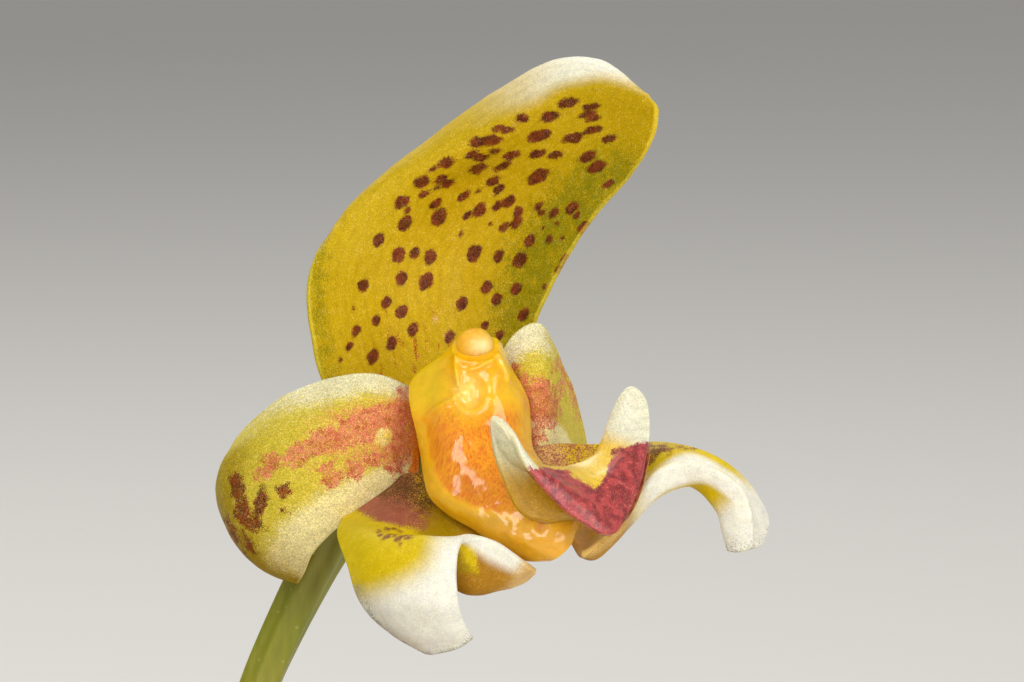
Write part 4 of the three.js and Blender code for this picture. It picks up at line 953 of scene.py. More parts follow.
def flower_blades():
    """The five tepals and the lip."""
    dorsal = tepal_finish(
        "dorsal_sepal_tissue", "#cba800",
        [
            # pale is a painted highlight on the curled tip, olive is painted shade at the sides
            ("band", "#c8a804", 0), ("olive", "#8c8400", 0.6), ("pale", "#f4eed4", 0),
            ("streak", "#a8430a", 0.9), ("papillae", "#e6b08c", 1.0),
        ],
        [("spots", "#7d2c12", "#5a180a", 0.26, 0.12)], speckle_and_glint=0.3, vein=0.06,
    )
    petal = tepal_finish(
        "petal_tissue", "#d2bc36",
        [
            ("olive", "#b09406", 0.3), ("silver", "#e6dcae", 0.7), ("cream", "#eedd9c", 0.5),
            ("warm", "#dd7208", 0.3), ("blush", "#de8258", 0.7),
        ],
        [
            ("patches", "#dc7a5c", "#c2543a", 0.9, 0.7), ("blotches", "#8a3212", "#642008", 0.8, 0.25),
            ("callus", "#e6c64c", "#eed88a", 0.7, 0.5), ("orange", "#e07c0c", "#cc600a", 0.5, 0.2),
        ],
        speckle_and_glint=0.6, vein=0.03,
    )
    lateral = tepal_finish(
        "lateral_sepal_tissue", "#dabc00",
        [
            ("olive", "#ae8c04", 0.35), ("tan", "#b07c14", 0.5), ("white", "#efebda", 0),
            # deep is painted shade in the hollows at the sepals' bases
            ("peach", "#dcb46c", 0.3), ("purple", "#a65c46", 0.9), ("deep", "#5e4418", 1.0),
            ("specks", "#a0a08c", 1.0),
        ],
        [("flecks", "#8a4c28", "#743618", 0.25, 0.3)], speckle_and_glint=0.22, vein=0.02, rim=0.05,
    )
    lip = tepal_finish(
        "lip_tissue", "#f4c82c", [("cream", "#e8e4c6", 0), ("amber", "#c8960c", 0), ("grey", "#d2cc98", 0)],
        [("maroon", "#bc3e44", "#8c1c2e", 0.45, 0.06)], speckle_and_glint=0.35, vein=0.08, rim=0.1, gloss=(0.9, 0.36),
    )
    left_marks = {
        "patches": LEFT_PETAL_PATCHES, "blotches": LEFT_PETAL_BLOTCHES, "callus": LEFT_PETAL_CALLUS,
        "orange": LEFT_PETAL_ORANGE,
    }
    right_marks = {"patches": RIGHT_PETAL_PATCHES, "blotches": [], "callus": [], "orange": []}
    for blade_of in (
        ("dorsal_sepal", DORSAL_SEPAL, (192, 130), 0.34, dorsal, dorsal_zones, {"spots": DORSAL_SPOTS}),
        ("petal_left", LEFT_PETAL, (140, 108), 0.34, petal, left_petal_zones, left_marks, callus_relief),
        ("petal_right", RIGHT_PETAL, (108, 84), 0.34, petal, right_petal_zones, right_marks),
        (
            "lateral_sepal_left", LEFT_LATERAL_SEPAL, (150, 108), 0.42, lateral, left_lateral_zones,
            {"flecks": LEFT_LATERAL_FLECKS},
        ),
        (
            "lateral_sepal_right", RIGHT_LATERAL_SEPAL, (150, 98), 0.42, lateral, right_lateral_zones,
            {"flecks": RIGHT_LATERAL_FLECKS},
        ),
        ("lip", LIP, (136, 100), lip_thickness, lip, lip_zones, {}),
    ):
        flower_blade(*blade_of)


def column_surface(u, v):
    """The column's front from its net, and its back: from edge to edge, bulging away as a sine does."""
    front = net_surface(COLUMN_FRONT, u, v)
    across = front[:, -1] - front[:, 0]
    down = np.gradient(front.mean(axis=1), axis=0)
    ahead = unit(np.cross(across, down))
    ahead = ahead * np.sign(-ahead[:, 1:2])
    bulge = np.sin(math.pi * v) ** 0.75 * curve(COLUMN_BACK, u)[:, None]
    chord = front[:, :1] + across[:, None] * v[None, :, None]
    return front, chord - ahead[:, None] * bulge[..., None], ahead


def column():
    """The column with its stigma, its teeth and the ridge under the anther cap raised on its front."""
    u, v = margin_spaced(160), margin_spaced(116)
    front, back, ahead = column_surface(u, v)
    relief = sum(ridge(front, *each) for each in COLUMN_RIDGES) + ridge(front, COLUMN_FOLD, 0.25, -0.12)
    relief = relief + sum(dome(front, *each) for each in COLUMN_DOMES) + 0.04 * rough(front, 0.6, seed=2)
    share = np.clip((1 - np.abs(2 * v - 1)) / 0.12, 0, 1)[None] * np.clip(u / 0.03, 0, 1)[:, None]
    rim = COLUMN_RIM * np.sqrt(np.clip(1 - (2 * v - 1) ** 8, 0, 1))[None]
    front = front + ahead[:, None] * (relief * share + rim)[..., None]
    back = back - ahead[:, None] * rim[..., None]
    around = np.concatenate([front, back[:, -2:0:-1]], axis=1)[:, ::-1]
    in_front = np.concatenate([np.ones(len(v)), np.zeros(len(v) - 2)])[::-1]
    x, z = around[..., 0], around[..., 2]
    left = line_distance(around, COLUMN_FOOT_LEFT_LINE)
    foot = step(line_distance(around, COLUMN_FOOT_TOP_LINE), 0.4, -0.9)
    layers = {
        "foot": foot * step(left, -0.05, 0.3) * step(x, 3.9, 2.9),
        "stigma": dome(around, (0.95, 1.4), (0.55, 0.75), 1.0),
        "fold": ridge(around, COLUMN_FOLD, 0.25, 1.0),
        "wing": step(left, 0.1, -0.3) * step(z, 0.4, -0.4),
        "yellow": step(x, 0.3, -0.9) * step(z, 0.0, 1.2),
    }
    layers = {layer: ring_layer(grid * in_front) for layer, grid in layers.items()}
    layers["knee"] = ring_layer(np.repeat(step(u, 0.66, 0.86), len(in_front)), (0, 1))
    make_piece("column_body", *close_rings(place_in_pot(around)), column_finish(), layers, "column", "column")


def column_finish():
    """Glossy amber; the foot a deeper orange with fine streaks and an ochre rim, the stigma pale."""
    s = Finish(
        "column_tissue", flesh=(0.5, (1.0, 0.6, 0.08), 0.0008), gloss=(0.8, 0.12),
        Specular_IOR_Level=0.15, Coat_IOR=1.55,
    )
    lean = {"Vector": s.place(), "Rotation": (0.0, math.radians(-12), 0.0)}
    leaning = s.add("Mapping", lean, vector_type="POINT")
    streak = s.smooth(s.noise(1.0, 4.0, s.stretched(9000.0, 1500.0, leaning)), 0.4, 0.7)
    cloud = s.smooth(s.noise(700.0, 3.0), 0.35, 0.7)
    foot = s.layer("foot")
    tone = s.coat(s.mix(cloud, "#fcc404", "#f8b202"), "#ecc206", s.layer("yellow"))
    tone = s.mix(foot, tone, s.mix(cloud, "#f6a604", "#ec9404"))
    tone = s.coat(tone, "#dc6404", s.times(streak, foot), 0.8)
    for layer, code, share in (
        ("wing", "#d8a208", 0.7), ("knee", "#e6a82c", 0.8), ("fold", "#e08a50", 0.6),
        ("stigma", "#f8d66a", 1.0),
    ):
        tone = s.coat(tone, code, s.layer(layer), share)
    tone, roughness, height = s.grained_with_glints(tone, 0.07)
    grooved = s.linear(streak, s.times(foot, 0.6), height)
    return s.put(tone, s.times(roughness, s.linear(foot, 0.6, 0.35)), grooved, 0.4, 0.00004)


def anther_cap():
    """The anther cap: a dome that is flatter below, creased down its face."""
    polar = np.linspace(0.02, 0.98, 44)[:, None] * math.pi
    ball = wheel(np.sin(polar), circle(60), np.cos(polar))
    ahead, up = -ball[..., 1], ball[..., 2]
    size = np.array([0.94, 0.9, 0.86]) * np.where(up[..., None] < 0, [1, 1, 0.8], 1)
    points = ANTHER_CAP_AT + ball * size
    pale = dome(points, (1.6, 3.6), (0.55, 0.5), 1.0) * step(ahead, -0.2, 0.3)
    crease = -0.05 * bell(ball[..., 0], 0.3, 0.1) * step(ahead, 0, 0.4) * step(up, 0.4, -0.2)
    points = points + ball * (crease + 0.03 * rough(points, 0.6, seed=4))[..., None]
    s = Finish(
        "anther_cap_tissue", flesh=(0.5, (1.0, 0.7, 0.2), 0.0006), gloss=(0.35, 0.22), Specular_IOR_Level=0.2,
    )
    tone = s.mottled(s.noise(1500.0), 0.35, 0.7, "#f8b41c", "#f8c040")
    tone = s.coat(tone, "#fce4a0", s.layer("pale"))
    finish = s.put(*s.grained_with_glints(tone, 0.12), 0.2, 0.00003)
    points, faces = close_rings(place_in_pot(points[::-1]))
    layers = {"pale": ring_layer(pale[::-1])}
    make_piece("anther_cap_dome", points, faces, finish, layers, "anther_cap", "anther_cap")


def stalk_finish(name, young, old, scale):
    """Olive-green stalk skin, fading between two greens, with fine lengthwise lines and small pale dots."""
    s = Finish(name, flesh=(0.15, (0.8, 1.0, 0.3), 0.0005), gloss=(0.1,))
    line = s.noise(1.0, 3.0, s.stretched(scale, scale / 8))
    tone = s.scaled(s.mottled(s.noise(180.0), 0.35, 0.65, young, old), s.linear(line, 0.5, 0.75))
    tone = s.coat(tone, "#c9c77a", s.smooth(s.cells(1500.0), 0.16, 0.08), 0.35)
    return s.put(tone, s.linear(line, 0.2, 0.4), line, 0.4, 0.00015)


def ovary(finish):
    """The stalked ovary: six rounded ribs, thicker toward the flower, twisted a sixth of a turn."""
    t = np.linspace(0, 1, 90)[:, None]
    ribs = 0.1 * np.sin(math.pi * t) ** 0.5 * np.cos(6 * (circle(60) + t))
    rings = tube_rings(even_curve(OVARY_PATH, t[:, 0]), SCAPE_RADIUS + 0.6 * t**2 + ribs, (1.0, 0.0, 0.0))
    make_piece("ovary_stalk", *close_rings(place_in_pot(rings)), finish, {}, "ovary", "stalk")


def sheath(name, start, end, reach, finish):
    """A sheathing scale wrapped round the flower stalk, its open edge rising to a point on one side."""
    rows, columns = 34, 60
    wrap, open_side, thickness = 1.04, 2.2, 0.2  # turns, radians and millimetres
    u, v = np.linspace(0, 1, rows)[:, None], margin_spaced(columns)
    turn = (v - 0.5) * 2 * math.pi * wrap
    top = 0.5 + 0.5 * np.sin(math.pi * v) ** 0.8
    shares = start + (end - start) * u * top
    middles = even_curve(SCAPE_PATH, shares.ravel()).reshape(rows, columns, 3)
    ahead = unit(np.gradient(even_curve(SCAPE_PATH, np.linspace(start, end, rows)), axis=0))[:, None]
    side = unit(np.cross((0.0, 1.0, 0.0), ahead))
    radius = SCAPE_RADIUS + thickness + reach * u**1.5 + 0.12 * v + 0.03 * np.cos(12 * turn)
    turn = turn[None, :, None] + open_side
    spread = np.cos(turn) * side + np.sin(turn) * np.cross(ahead, side)
    points, faces, layers = blade(middles + spread * radius[..., None], thickness, {})
    make_piece(name, place_in_pot(points), faces, finish, layers, "scape", "stalk")


def flower_stalk(finish):
    """The stalk itself: a round path with shallow lengthwise grooves, its foot sunk in the rhizome."""
    beyond, length = 0.012, 26  # share of the path that it runs on at each end, and the path's rough length
    t = np.linspace(-beyond, 1 + beyond, 120)
    grooves = 0.03 * np.cos(9 * circle(40))[None]
    radius = SCAPE_RADIUS + grooves + 0.25 * bell(t, 0, 0.05)[:, None]
    inside = np.clip(t, 0, 1)
    middles = even_curve(SCAPE_PATH, inside)
    middles = middles + unit(np.gradient(middles, axis=0)) * ((t - inside) * length)[:, None]
    rings = tube_rings(middles, radius, (0.0, 1.0, 0.0))
    make_piece("scape_stalk", *close_rings(place_in_pot(rings)), finish, {}, "scape", "stalk")


def bulb_axis(shoot, t):
    """Where a shoot's pseudobulb runs, from its foot on the rhizome to the foot of its leaf."""
    foot, (heading, off_upright), size, _ = shoot
    height = BULB_HEIGHT * size
    off = math.tan(math.radians(off_upright)) * height
    out, rise = np.array([(0, 0), (0.25, 0.35), (0.6, 0.7), (1, 1)]).T[..., None]
    return curve([*foot, BULB_FOOT_LEVEL] + compass(heading) * off * out + [0, 0, height] * rise, t)


def pseudobulb(number, shoot, finish):
    """An egg-shaped pseudobulb with six soft ribs, papery scales round its foot and a collar on top."""
    t = np.linspace(0, 1, 76)
    along, turn = t[:, None], circle(60)
    girth = curve([2.2, 3.3, 4.2, 3.4, 1.9, 1.5], t)[:, None] * shoot[2]
    ribs = 1 + 0.055 * (1 - np.abs(np.cos(3 * turn)) * 2) * np.sin(math.pi * along)
    middles = bulb_axis(shoot, t)
    rings = tube_rings(middles, girth * ribs, (0.0, 1.0, 0.0))
    outwards = unit(rings - middles[:, None])
    fibres = rough(wheel(9, turn, 3 * along), 1.0, seed=number)
    brim = 0.2 + 0.07 * fibres
    scale = step(along, brim + 0.012, brim - 0.012)
    wrinkle = 0.06 * rough(rings, 2.2, seed=20 + number)
    collar = 0.25 * bell(along, 0.965, 0.02)
    rings = rings + outwards * (wrinkle + collar + scale * (0.16 + 0.1 * fibres))[..., None]
    layers = {"papery": ring_layer(scale, (1, 0)), "along": ring_layer(np.repeat(t, len(turn)), (0, 1))}
    node = f"pseudobulb_{number}"
    make_piece(f"pseudobulb_body_{number}", *close_rings(rings), finish, layers, node, "pseudobulb")


def leaf_net(shoot):
    """Rows across a leaf from the foot of its stalk to its notched tip."""
    heading, rise, droop, length, width, twist = shoot[3]
    shares = np.array([0, 0.05, 0.12, 0.22, 0.4, 0.6, 0.8, 0.93, 1])
    breadths = np.array([0.11, 0.11, 0.16, 0.55, 0.9, 1, 0.86, 0.55, 0.2])
    angle = np.radians(rise - droop * shares**1.2)[:, None]
    ahead = compass(heading) * np.cos(angle) + [0, 0, 1] * np.sin(angle)
    level = np.cross([0, 0, 1], compass(heading))
    start = bulb_axis(shoot, np.array([1.0]))[0] + [0, 0, -0.8]
    middle = start + np.cumsum(ahead * np.diff(shares, prepend=0)[:, None] * length, axis=0)
    turned = np.radians(twist) * shares[:, None]
    side = level * np.cos(turned) + np.cross(ahead, level) * np.sin(turned)
    lift = np.cross(ahead, side)
    half = (breadths * width / 2)[:, None, None]
    across = np.array([-1, -0.5, 0, 0.5, 1])[None, :, None]
    net = middle[:, None] + side[:, None] * across * half + lift[:, None] * np.abs(across) ** 1.4 * half * 0.3
    net[-1, [1, 3]] += ahead[-1] * 0.9
    return net


def leaf(number, shoot, finish):
    """A leathery leaf: a groove over the midrib, a keel under it and faint lengthwise veins."""
    u, v = margin_spaced(104), margin_spaced(46)
    middle = net_surface(leaf_net(shoot), u, v)
    waves = 0.22 * rough(middle, 14.0, seed=number) * step(u, 0.15, 0.4)[:, None]
    middle = middle + grid_normals(middle) * waves[..., None]
    along, across = np.meshgrid(u, v, indexing="ij")
    groove = bell(across, 0.5, 0.045) * step(along, 0.12, 0.25) * step(along, 1.0, 0.85)
    veins = 0.03 * np.cos(across * 2 * math.pi * LEAF_VEINS) * step(along, 0.2, 0.35)
    thickness = 1.1 + 1.1 * np.maximum(0, 1 - 4.5 * along) - 0.15 * step(along, 0.2, 0.3)
    above = np.pad(np.ones((len(u) - 2, len(v) - 2)), 1, constant_values=0.5)
    layers = {"along": along, "across": across, "side": (above, 0)}
    points, faces, layers = blade(middle, thickness, layers, veins - 0.38 * groove, 0.4 * groove)
    make_piece(f"leaf_blade_{number}", points, faces, finish, layers, f"leaf_{number}", "leaf")


def leaf_finish():
    """Glossy mid-green above with a pale midrib and faint veins, lighter below, yellow-green at the stalk."""
    s = Finish("leaf_skin", flesh=(0.12, (0.6, 1.0, 0.2), 0.001), gloss=(0.15, 0.3), Specular_IOR_Level=0.3)
    across = s.layer("across")
    mottle = s.noise(160.0, 4.0)
    line = s.use(FINE_VEINS, "Line", Across=s.times(across, 2.0 * LEAF_VEINS), Spacing=1.0)
    tone = s.scaled(s.mottled(mottle, 0.35, 0.65, "#3f7024", "#52842a"), s.linear(line, -0.12, 1.0))
    from_midrib = s.math("ABSOLUTE", s.math("SUBTRACT", across, 0.5))
    for code, place, low, high, share in (
        ("#8fae4a", from_midrib, 0.035, 0.01, 0.45), ("#8d9a45", s.layer("along"), 0.2, 0.04, 1.0),
        ("#86a457", s.layer("side"), 0.5, 0.0, 0.6), ("#9aa050", s.layer("inwards"), 0.5, 0.15, 0.4),
    ):
        tone = s.coat(tone, code, s.smooth(place, low, high), share)
    return s.put(tone, s.linear(mottle, 0.25, 0.25), s.linear(line, 0.5, s.cells(2500.0)), 0.25, 0.00012)


def bulb_finish():
    """Yellow-green bulb skin with dark freckles, duller toward the top, under fibrous straw-brown scales."""
    s = Finish("pseudobulb_skin", flesh=(0.12, (0.7, 1.0, 0.25), 0.001), gloss=(0.12, 0.3))
    mottle = s.noise(260.0, 4.0)
    tone = s.mottled(mottle, 0.35, 0.65, "#7f9440", "#9aa94e")
    tone = s.coat(tone, "#8f9a3c", s.smooth(s.layer("along"), 0.55, 1.0))
    tone = s.coat(tone, "#5d6a2a", s.smooth(s.cells(900.0), 0.18, 0.08), 0.35)
    fibre = s.noise(1.0, 3.0, s.stretched(2600.0, 260.0))
    papery = s.layer("papery")
    tone = s.mix(papery, tone, s.mottled(fibre, 0.35, 0.65, "#6e5230", "#b79a68"))
    height = s.linear(fibre, papery, s.times(mottle, 0.2))
    return s.put(tone, s.linear(papery, 0.45, 0.35), height, 0.5, 0.0003)


def rhizome():
    """The rhizome and its branch, ringed by scale scars, with whitish roots that dive into the bark."""
    parts, sides, root_sides = [], 30, 16
    for path, scars in ((RHIZOME_PATH, 26), (BRANCH_PATH, 20)):
        t = np.linspace(0, 1, scars * 9 + 1)[:, None]
        phase = t * scars / 2 % 1
        ends = np.minimum(1, np.sqrt(np.minimum(t, 1 - t) / 0.05))
        radius = RHIZOME_RADIUS * (1 + 0.16 * (phase**3 - 0.25)) * (0.5 + 0.5 * ends)
        middles = even_curve(path, t[:, 0])
        rings = tube_rings(middles, np.repeat(radius, sides, axis=1), (0.0, 0.0, 1.0))
        outwards = unit(rings - middles[:, None])
        rings = rings + outwards * (0.12 * rough(rings * [1, 1, 2.5], 1.3, seed=scars))[..., None]
        points, faces = close_rings(rings)
        layers = {"root": np.zeros(len(points)), "along": ring_layer(np.repeat(phase, sides))}
        parts.append((points, faces, layers))
    t = np.linspace(0, 1, 70)
    out, rise = np.array([(-0.03, 0), (0.45, 0.8), (0.85, -1.2), (1, -5)]).T[..., None]
    for on_branch, along, heading, reach in ROOTS:
        start = even_curve(BRANCH_PATH if on_branch else RHIZOME_PATH, np.array([along]))[0]
        middles = curve(start + compass(heading) * reach * out + [0, 0, 1] * rise, t)
        sway = np.stack([rough(middles, 3.0, seed=31), rough(middles, 3.0, seed=32), 0 * t], -1)
        middles = middles + 0.25 * sway * np.sin(math.pi * t)[:, None]
        radius = ROOT_RADIUS * (1.2 - 0.4 * t) * (1 + 0.08 * noise(middles, 0.9, seed=7))
        level = np.cross(compass(heading), (0.0, 0.0, 1.0))
        points, faces = close_rings(tube_rings(middles, np.repeat(radius[:, None], root_sides, axis=1), level))
        layers = {"root": np.ones(len(points)), "along": ring_layer(np.repeat(t, root_sides), (0, 1))}
        parts.append((points, faces, layers))
    points, faces, layers = join_parts(parts)
    make_piece("rhizome_and_roots", points, faces, rhizome_finish(), layers, "rhizome", "rhizome")


def rhizome_finish():
    """Brown papery scales with dark edges on the rhizome; the roots are whitish, clouded with grey-green."""
    s = Finish("rhizome_skin")
    mottle, fibre = s.noise(700.0, 4.0), s.noise(2600.0, 3.0)
    brown = s.mottled(mottle, 0.35, 0.62, "#6f5a30", "#a08a55")
    brown = s.coat(brown, "#4a3520", s.smooth(s.layer("along"), 0.75, 1.0), 0.6)
    tone = s.mix(s.layer("root"), brown, s.mottled(mottle, 0.4, 0.65, "#d8d3bf", "#b9b79a"))
    return s.put(s.scaled(tone, s.linear(fibre, 0.5, 0.75)), s.linear(fibre, 0.2, 0.6), fibre, 0.5, 0.0002)


def inside_radius(level):
    """How far out the bark may reach at a level: the pot's inner wall less a clearance."""
    taper = POT_INNER_TAPER / (POT_HEIGHT - POT_BEAD - POT_FLOOR)
    return POT_INNER_FOOT + taper * (level - POT_FLOOR) - 1.5 * CLEARANCE


def unit_block(count):
    """Points and quads of a cube of side 1 about the origin, with count cells along each edge."""
    line = np.linspace(-0.5, 0.5, count + 1)
    a, b = np.meshgrid(line, line, indexing="ij")
    flat = np.full_like(a, 0.5)
    sides = [(flat, a, b), (-flat, b, a), (b, flat, a), (a, -flat, b), (a, b, flat), (b, a, -flat)]
    points = np.concatenate([np.stack(side, -1).reshape(-1, 3) for side in sides])
    quads = grid_quads(count + 1, count + 1)[:, ::-1]
    quads = np.concatenate([quads + k * a.size for k in range(len(sides))])
    places, number = np.unique(np.round(points, 6), axis=0, return_inverse=True)
    return places, number.ravel()[quads]


def seeded(seed):
    """Random numbers from 0 to 1, the same on every run."""
    state = seed
    while True:
        state = (state * 1664525 + 1013904223) % 4294967296
        yield state / 4294967296


def chip_points(block, size, pushes, seed):
    """A bark chip: a block with pushed corners, rounded edges, layers that stand out and a broken grain."""
    share = block + 0.5
    scale = 0
    for corner in range(8):
        near = [share[:, k] if corner >> k & 1 else 1 - share[:, k] for k in range(3)]
        scale = scale + np.prod(near, axis=0)[:, None] * pushes[corner]
    length = np.linalg.norm(block * 2, axis=1, keepdims=True)
    points = block * (1 - 0.17 * step(length, 1.15, 1.7)) * size * scale
    nothing = 0 * share[:, 0]
    layer = noise(np.stack([points[:, 2] * 2.2, nothing + seed, nothing], -1), 1.0, seed)
    wall = np.clip(np.abs(block[:, :2]).max(axis=1) * 2 - 0.6, 0, 0.4) / 0.4
    points = points * (1 + (0.07 * layer * wall)[:, None] * [1, 1, 0])
    broken = [rough(points, grain, seed + other) for grain, other in ((3.0, 50), (3.0, 60), (2.2, 70))]
    return points + 0.5 * np.stack(broken, -1)


def turned(x, y, z):
    """Rotation by x, then y, then z, about the fixed axes."""
    (cx, cy, cz), (sx, sy, sz) = np.cos([x, y, z]), np.sin([x, y, z])
    about_x = np.array([[1, 0, 0], [0, cx, -sx], [0, sx, cx]])
    about_y = np.array([[cy, 0, sy], [0, 1, 0], [-sy, 0, cy]])
    about_z = np.array([[cz, -sz, 0], [sz, cz, 0], [0, 0, 1]])
    return about_z @ about_y @ about_x


def clear_beds(points):
    """Pushes points down and in from the rhizome, the roots' starts and the pot's wall."""
    points = points.copy()
    for path in (RHIZOME_PATH, BRANCH_PATH):
        for middle in even_curve(path, np.linspace(0, 1, 60)):
            off = np.hypot(points[:, 0] - middle[0], points[:, 1] - middle[1])
            under = middle[2] - np.sqrt(np.maximum(BED_RADIUS**2 - off**2, 0))
            held = (off < BED_RADIUS) & (points[:, 2] > under)
            points[held, 2] = under[held]
    radius = np.hypot(points[:, 0], points[:, 1])
    most = inside_radius(points[:, 2]) - 0.1
    points[:, :2] *= np.minimum(1, most / np.maximum(radius, 1e-6))[:, None]
    return points


def bark():
    """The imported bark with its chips: the large ones where the solids have them, small ones between.

    Sizes, pushes and levels are least values and what chance adds to them. Chips lie on a golden spiral.
    """
    draw = seeded(7)
    golden = math.pi * (3 - math.sqrt(5))

    def drawn(count, least, more):
        return np.array(least) + np.array([next(draw) for _ in range(count)]).reshape(-1, len(more)) * more

    large = {
        "cells": 13, "count": 32, "reach": 35, "sizes": ((12, 8, 4.5), (6, 4, 2)), "trim": 0.98,
        "pushes": ((0.8, 0.75, 0.8), (0.35, 0.4, 0.3)), "tilts": (0.9, 0.7), "levels": (0, 0.6), "first": 0,
        "seed": 0,
    }
    small = {
        "cells": 5, "count": 150, "reach": 39, "sizes": ((4, 3, 1.6), (5, 3, 1.8)), "trim": 1,
        "pushes": ((0.7, 0.7, 0.7), (0.5, 0.5, 0.5)), "tilts": (1.2, 1.2), "levels": (0.5, 2.2), "first": 1,
        "seed": 100,
    }
    parts = []
    for kind in (large, small):
        block, quads = unit_block(kind["cells"])
        for i in range(kind["count"]):
            size = drawn(3, *kind["sizes"])[0] * kind["trim"]
            pushes = drawn(24, *kind["pushes"])
            tilt = (next(draw) - 0.5) * kind["tilts"][0], (next(draw) - 0.5) * kind["tilts"][1]
            turn = turned(*tilt, next(draw) * 2 * math.pi)
            radius = math.sqrt((i + 0.5) / kind["count"]) * kind["reach"]
            angle = i * golden + kind["first"]
            level = BARK_LEVEL + kind["levels"][0] + kind["levels"][1] * next(draw)
            place = [math.cos(angle) * radius, math.sin(angle) * radius, level]
            points = clear_beds(chip_points(block, size, pushes, kind["seed"] + i) @ turn.T + place)
            parts.append((points, [quads], {"tone": np.full(len(points), next(draw))}))
    rings = np.concatenate([[0.3], np.linspace(1, BARK_REACH, 40)])[:, None]
    top = wheel(rings, circle(120), BARK_LEVEL)
    top[..., 2] += 0.9 * rough(top, 5.0, seed=77)
    levels = np.array([71, 69, 60, 40, 20, POT_FLOOR + 0.4])[:, None]
    sides = wheel(inside_radius(levels), circle(120), levels)
    points, faces = close_rings(np.concatenate([top, sides])[::-1])
    points[:-2] = clear_beds(points[:-2])
    parts.append((points, faces, {"tone": np.full(len(points), 0.3)}))
    points, faces, layers = join_parts(parts)
    make_piece("bark_chips", points, faces, bark_finish(), layers, "bark_medium", "bark")


def bark_finish():
    """Orchid bark: red-brown to dark brown by chip, with pale broken layers, dark cracks and dust."""
    s = Finish("bark_chip")
    layer = s.noise(1.0, 5.0, s.stretched(220.0, 1500.0))
    grain = s.noise(1500.0, 5.0)
    tone = s.mix(s.layer("tone"), "#5a3621", "#8a5a38")
    for code, place, low, high, share in (
        ("#a87a50", layer, 0.42, 0.62, 1.0), ("#3b2417", layer, 0.42, 0.3, 1.0),
        ("#b9a48a", s.noise(350.0, 3.0), 0.58, 0.7, 0.35),
    ):
        tone = s.coat(tone, code, s.smooth(place, low, high), share)
    tone = s.scaled(tone, s.linear(grain, 0.7, 0.65))
    return s.put(tone, s.linear(grain, 0.2, 0.7), s.linear(layer, 1.5, grain), 0.6, 0.0006)


def pot():
    """The clay pot, turned on the wheel: a tapered wall with faint rings, a thicker rim and three drain holes.

    The wall is the profile carried round the axis. The floor is three equal sectors, each a sheet that runs
    from the sector's border in to its hole on the underside, up through the hole and out again above.
    """
    sector, arc, rows, rays, hole_rows = math.pi / 3, 48, 220, 15, 5
    profile = even_curve([(radius, 0, level) for radius, level in POT_PROFILE], np.linspace(0, 1, rows))
    radius, level = profile[:, :1], profile[:, 2:]
    turn = np.linspace(-sector, sector, arc + 1)[:-1]
    turn = np.concatenate([turn + sector * (1 + 2 * k) for k in range(3)])
    lathe = wheel(radius, turn, level)
    wall = step(level, 2, 8) * step(level, 64, 60)
    uneven = 0.05 * noise(np.stack([level, 0 * level, 0 * level], -1), 1.2, 3)
    uneven = 0.12 * np.sin(level * 2.1) * wall + uneven + 0.08 * rough(lathe, 16.0, seed=11) * wall
    lathe = lathe + wheel(1.0, turn, 0.0) * (uneven - 0.12)[..., None]
    sheets = [lathe]
    ray = np.linspace(0, 1, rays)[1:, None]
    inwards = np.linspace(0, 1, 9)[:, None, None]
    upwards = np.linspace(0, 1, hole_rows)[1:-1, None, None]
    for k in range(3):
        index = (np.arange(arc + 1) + k * arc) % len(turn)
        bearing = turn[k * arc] + sector
        hub = np.array([math.cos(bearing), math.sin(bearing)]) * HOLE_OFF
        plates = []
        for ring, height in ((lathe[0], 0.0), (lathe[-1], POT_FLOOR)):
            rim = ring[index, :2]
            border = np.concatenate([rim, rim[-1] * (1 - ray), rim[0] * ray[:-1]])
            from_hub = border - hub
            bearing = np.arctan2(from_hub[:, 1], from_hub[:, 0])
            edge = hub + HOLE_RADIUS * np.stack([np.cos(bearing), np.sin(bearing)], -1)
            flat = border * (1 - inwards) + edge * inwards
            plate = np.concatenate([flat, np.full_like(flat[..., :1], height)], -1)
            plate[0, : arc + 1, 2] = ring[index, 2]
            plates.append(plate)
        under, over = plates
        through = under[-1] * (1 - upwards) + over[-1] * upwards
        sheets.append(np.concatenate([under, through, over[::-1]]))
    parts = [(sheet.reshape(-1, 3), [grid_quads(*sheet.shape[:2], ring=True)], {}) for sheet in sheets]
    points, faces, _ = join_parts(parts)
    make_piece("pot_clay", *weld(points, faces), clay_finish(), {}, "pot", "terracotta")


def clay_finish():
    """Fired clay: orange-brown with a fine grain, damp and limy low down, limy at the rim, with small pits."""
    s = Finish("terracotta")
    height = s.add("SeparateXYZ", {"Vector": s.place()}, output="Z")
    cloud, grain = s.noise(45.0, 5.0), s.noise(1400.0, 6.0)
    tone = s.mottled(cloud, 0.35, 0.65, "#b5603a", "#c4734a")
    damp = s.smooth(s.linear(cloud, 0.03, height), 0.035, 0.005)
    tone = s.coat(tone, "#8f4a2e", damp, 0.45)
    bloom = s.smooth(s.noise(90.0, 6.0), 0.52, 0.68)
    at_rim, low_down = s.smooth(height, 0.064, 0.079), s.smooth(height, 0.03, 0.008)
    tone = s.coat(tone, "#dcc4ae", s.times(bloom, s.math("MAXIMUM", at_rim, low_down)), 0.55)
    pits = s.smooth(s.cells(420.0), 0.1, 0.03)
    tone = s.coat(s.scaled(tone, s.linear(grain, 0.35, 0.82)), "#7a3d25", pits, 0.5)
    return s.put(tone, s.linear(bloom, 0.1, 0.8), s.linear(pits, -0.6, s.times(grain, 0.5)), 0.5, 0.0003)


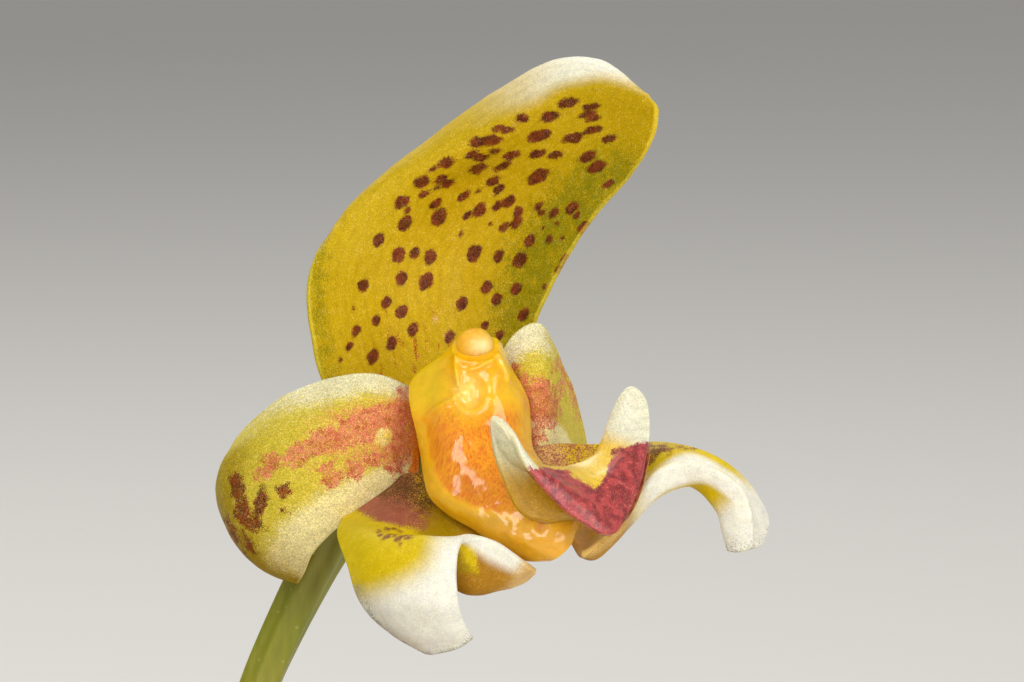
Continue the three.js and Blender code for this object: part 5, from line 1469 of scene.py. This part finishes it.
def floor():
    """A wide pale floor."""
    line = np.linspace(-FLOOR_REACH, FLOOR_REACH, 3)
    x, y = np.meshgrid(line, line, indexing="ij")
    mesh = bpy.data.meshes.new("floor")
    points = np.stack([x, y, 0 * x], -1).reshape(-1, 3) * MM
    mesh.from_pydata(points.tolist(), [], grid_quads(3, 3)[:, ::-1].tolist())
    mesh.materials.append(Finish("floor", Base_Color="#d9d6cf", Roughness=0.85).material)
    piece = bpy.data.objects.new("floor", mesh)
    bpy.context.scene.collection.objects.link(piece)


def look_along(obj, at, way):
    """Puts a camera or light in the scene at a place, facing along a direction."""
    obj.location = Vector(at) * MM
    obj.rotation_euler = Vector(way).to_track_quat("-Z", "Y").to_euler()
    bpy.context.scene.collection.objects.link(obj)


def camera():
    """The camera faces the flower along its own Y axis, and the flower fills the frame."""
    view = bpy.data.cameras.new("camera")
    view.sensor_width = SENSOR_WIDTH
    view.lens = SENSOR_WIDTH * VIEW_DISTANCE / VIEW_WIDTH
    view.clip_start, view.clip_end = 0.01, 60.0
    obj = bpy.data.objects.new("camera", view)
    centre, ahead = place_in_pot(np.array(VIEW_CENTRE) + [[0, 0, 0], [0, 1, 0]])
    look_along(obj, centre - (ahead - centre) * VIEW_DISTANCE, ahead - centre)
    bpy.context.scene.camera = obj


def soft_light(name, at, size, power):
    """A square softbox aimed at the flower; it isn't seen itself."""
    light = bpy.data.lights.new(name, "AREA")
    light.energy, light.size = power, size
    obj = bpy.data.objects.new(name, light)
    obj.visible_camera = False
    look_along(obj, FLOWER_AT + at, -np.array(at, float))


def studio():
    """Plain soft light: a key from the upper left in front, a weaker fill, one behind, and a pale world."""
    world = bpy.data.worlds.new("studio")
    world.use_nodes = True
    background = world.node_tree.nodes["Background"].inputs
    background["Color"].default_value = colour("#e8e8ea")
    background["Strength"].default_value = 0.45
    bpy.context.scene.world = world
    bpy.context.scene.view_settings.view_transform = "Standard"
    soft_light("key", (-260, -700, 480), 0.5, 4.7)
    soft_light("fill", (620, -560, 220), 0.5, 3.3)
    soft_light("behind", (-150, 600, 600), 0.4, 4.0)


camera()
studio()
floor()
flower_blades()
column()
anther_cap()
ovary(stalk_finish("ovary_skin", "#7f8314", "#8f8b1c", 2600.0))
flower_stalk(stalk_finish("scape_skin", "#6c7718", "#7f8526", 2600.0))
sheath_skin = stalk_finish("sheath_skin", "#9a8f4a", "#b3a468", 3200.0)
sheath("scape_sheath_low", 0.06, 0.26, 0.55, sheath_skin)
sheath("scape_sheath_middle", 0.3, 0.5, 0.6, sheath_skin)
sheath("floral_bract", 0.86, 1.0, 0.7, sheath_skin)
rhizome()
bulb_skin, leaf_skin = bulb_finish(), leaf_finish()
for number, shoot in enumerate(SHOOTS, 1):
    pseudobulb(number, shoot, bulb_skin)
    leaf(number, shoot, leaf_skin)
bark()
pot()
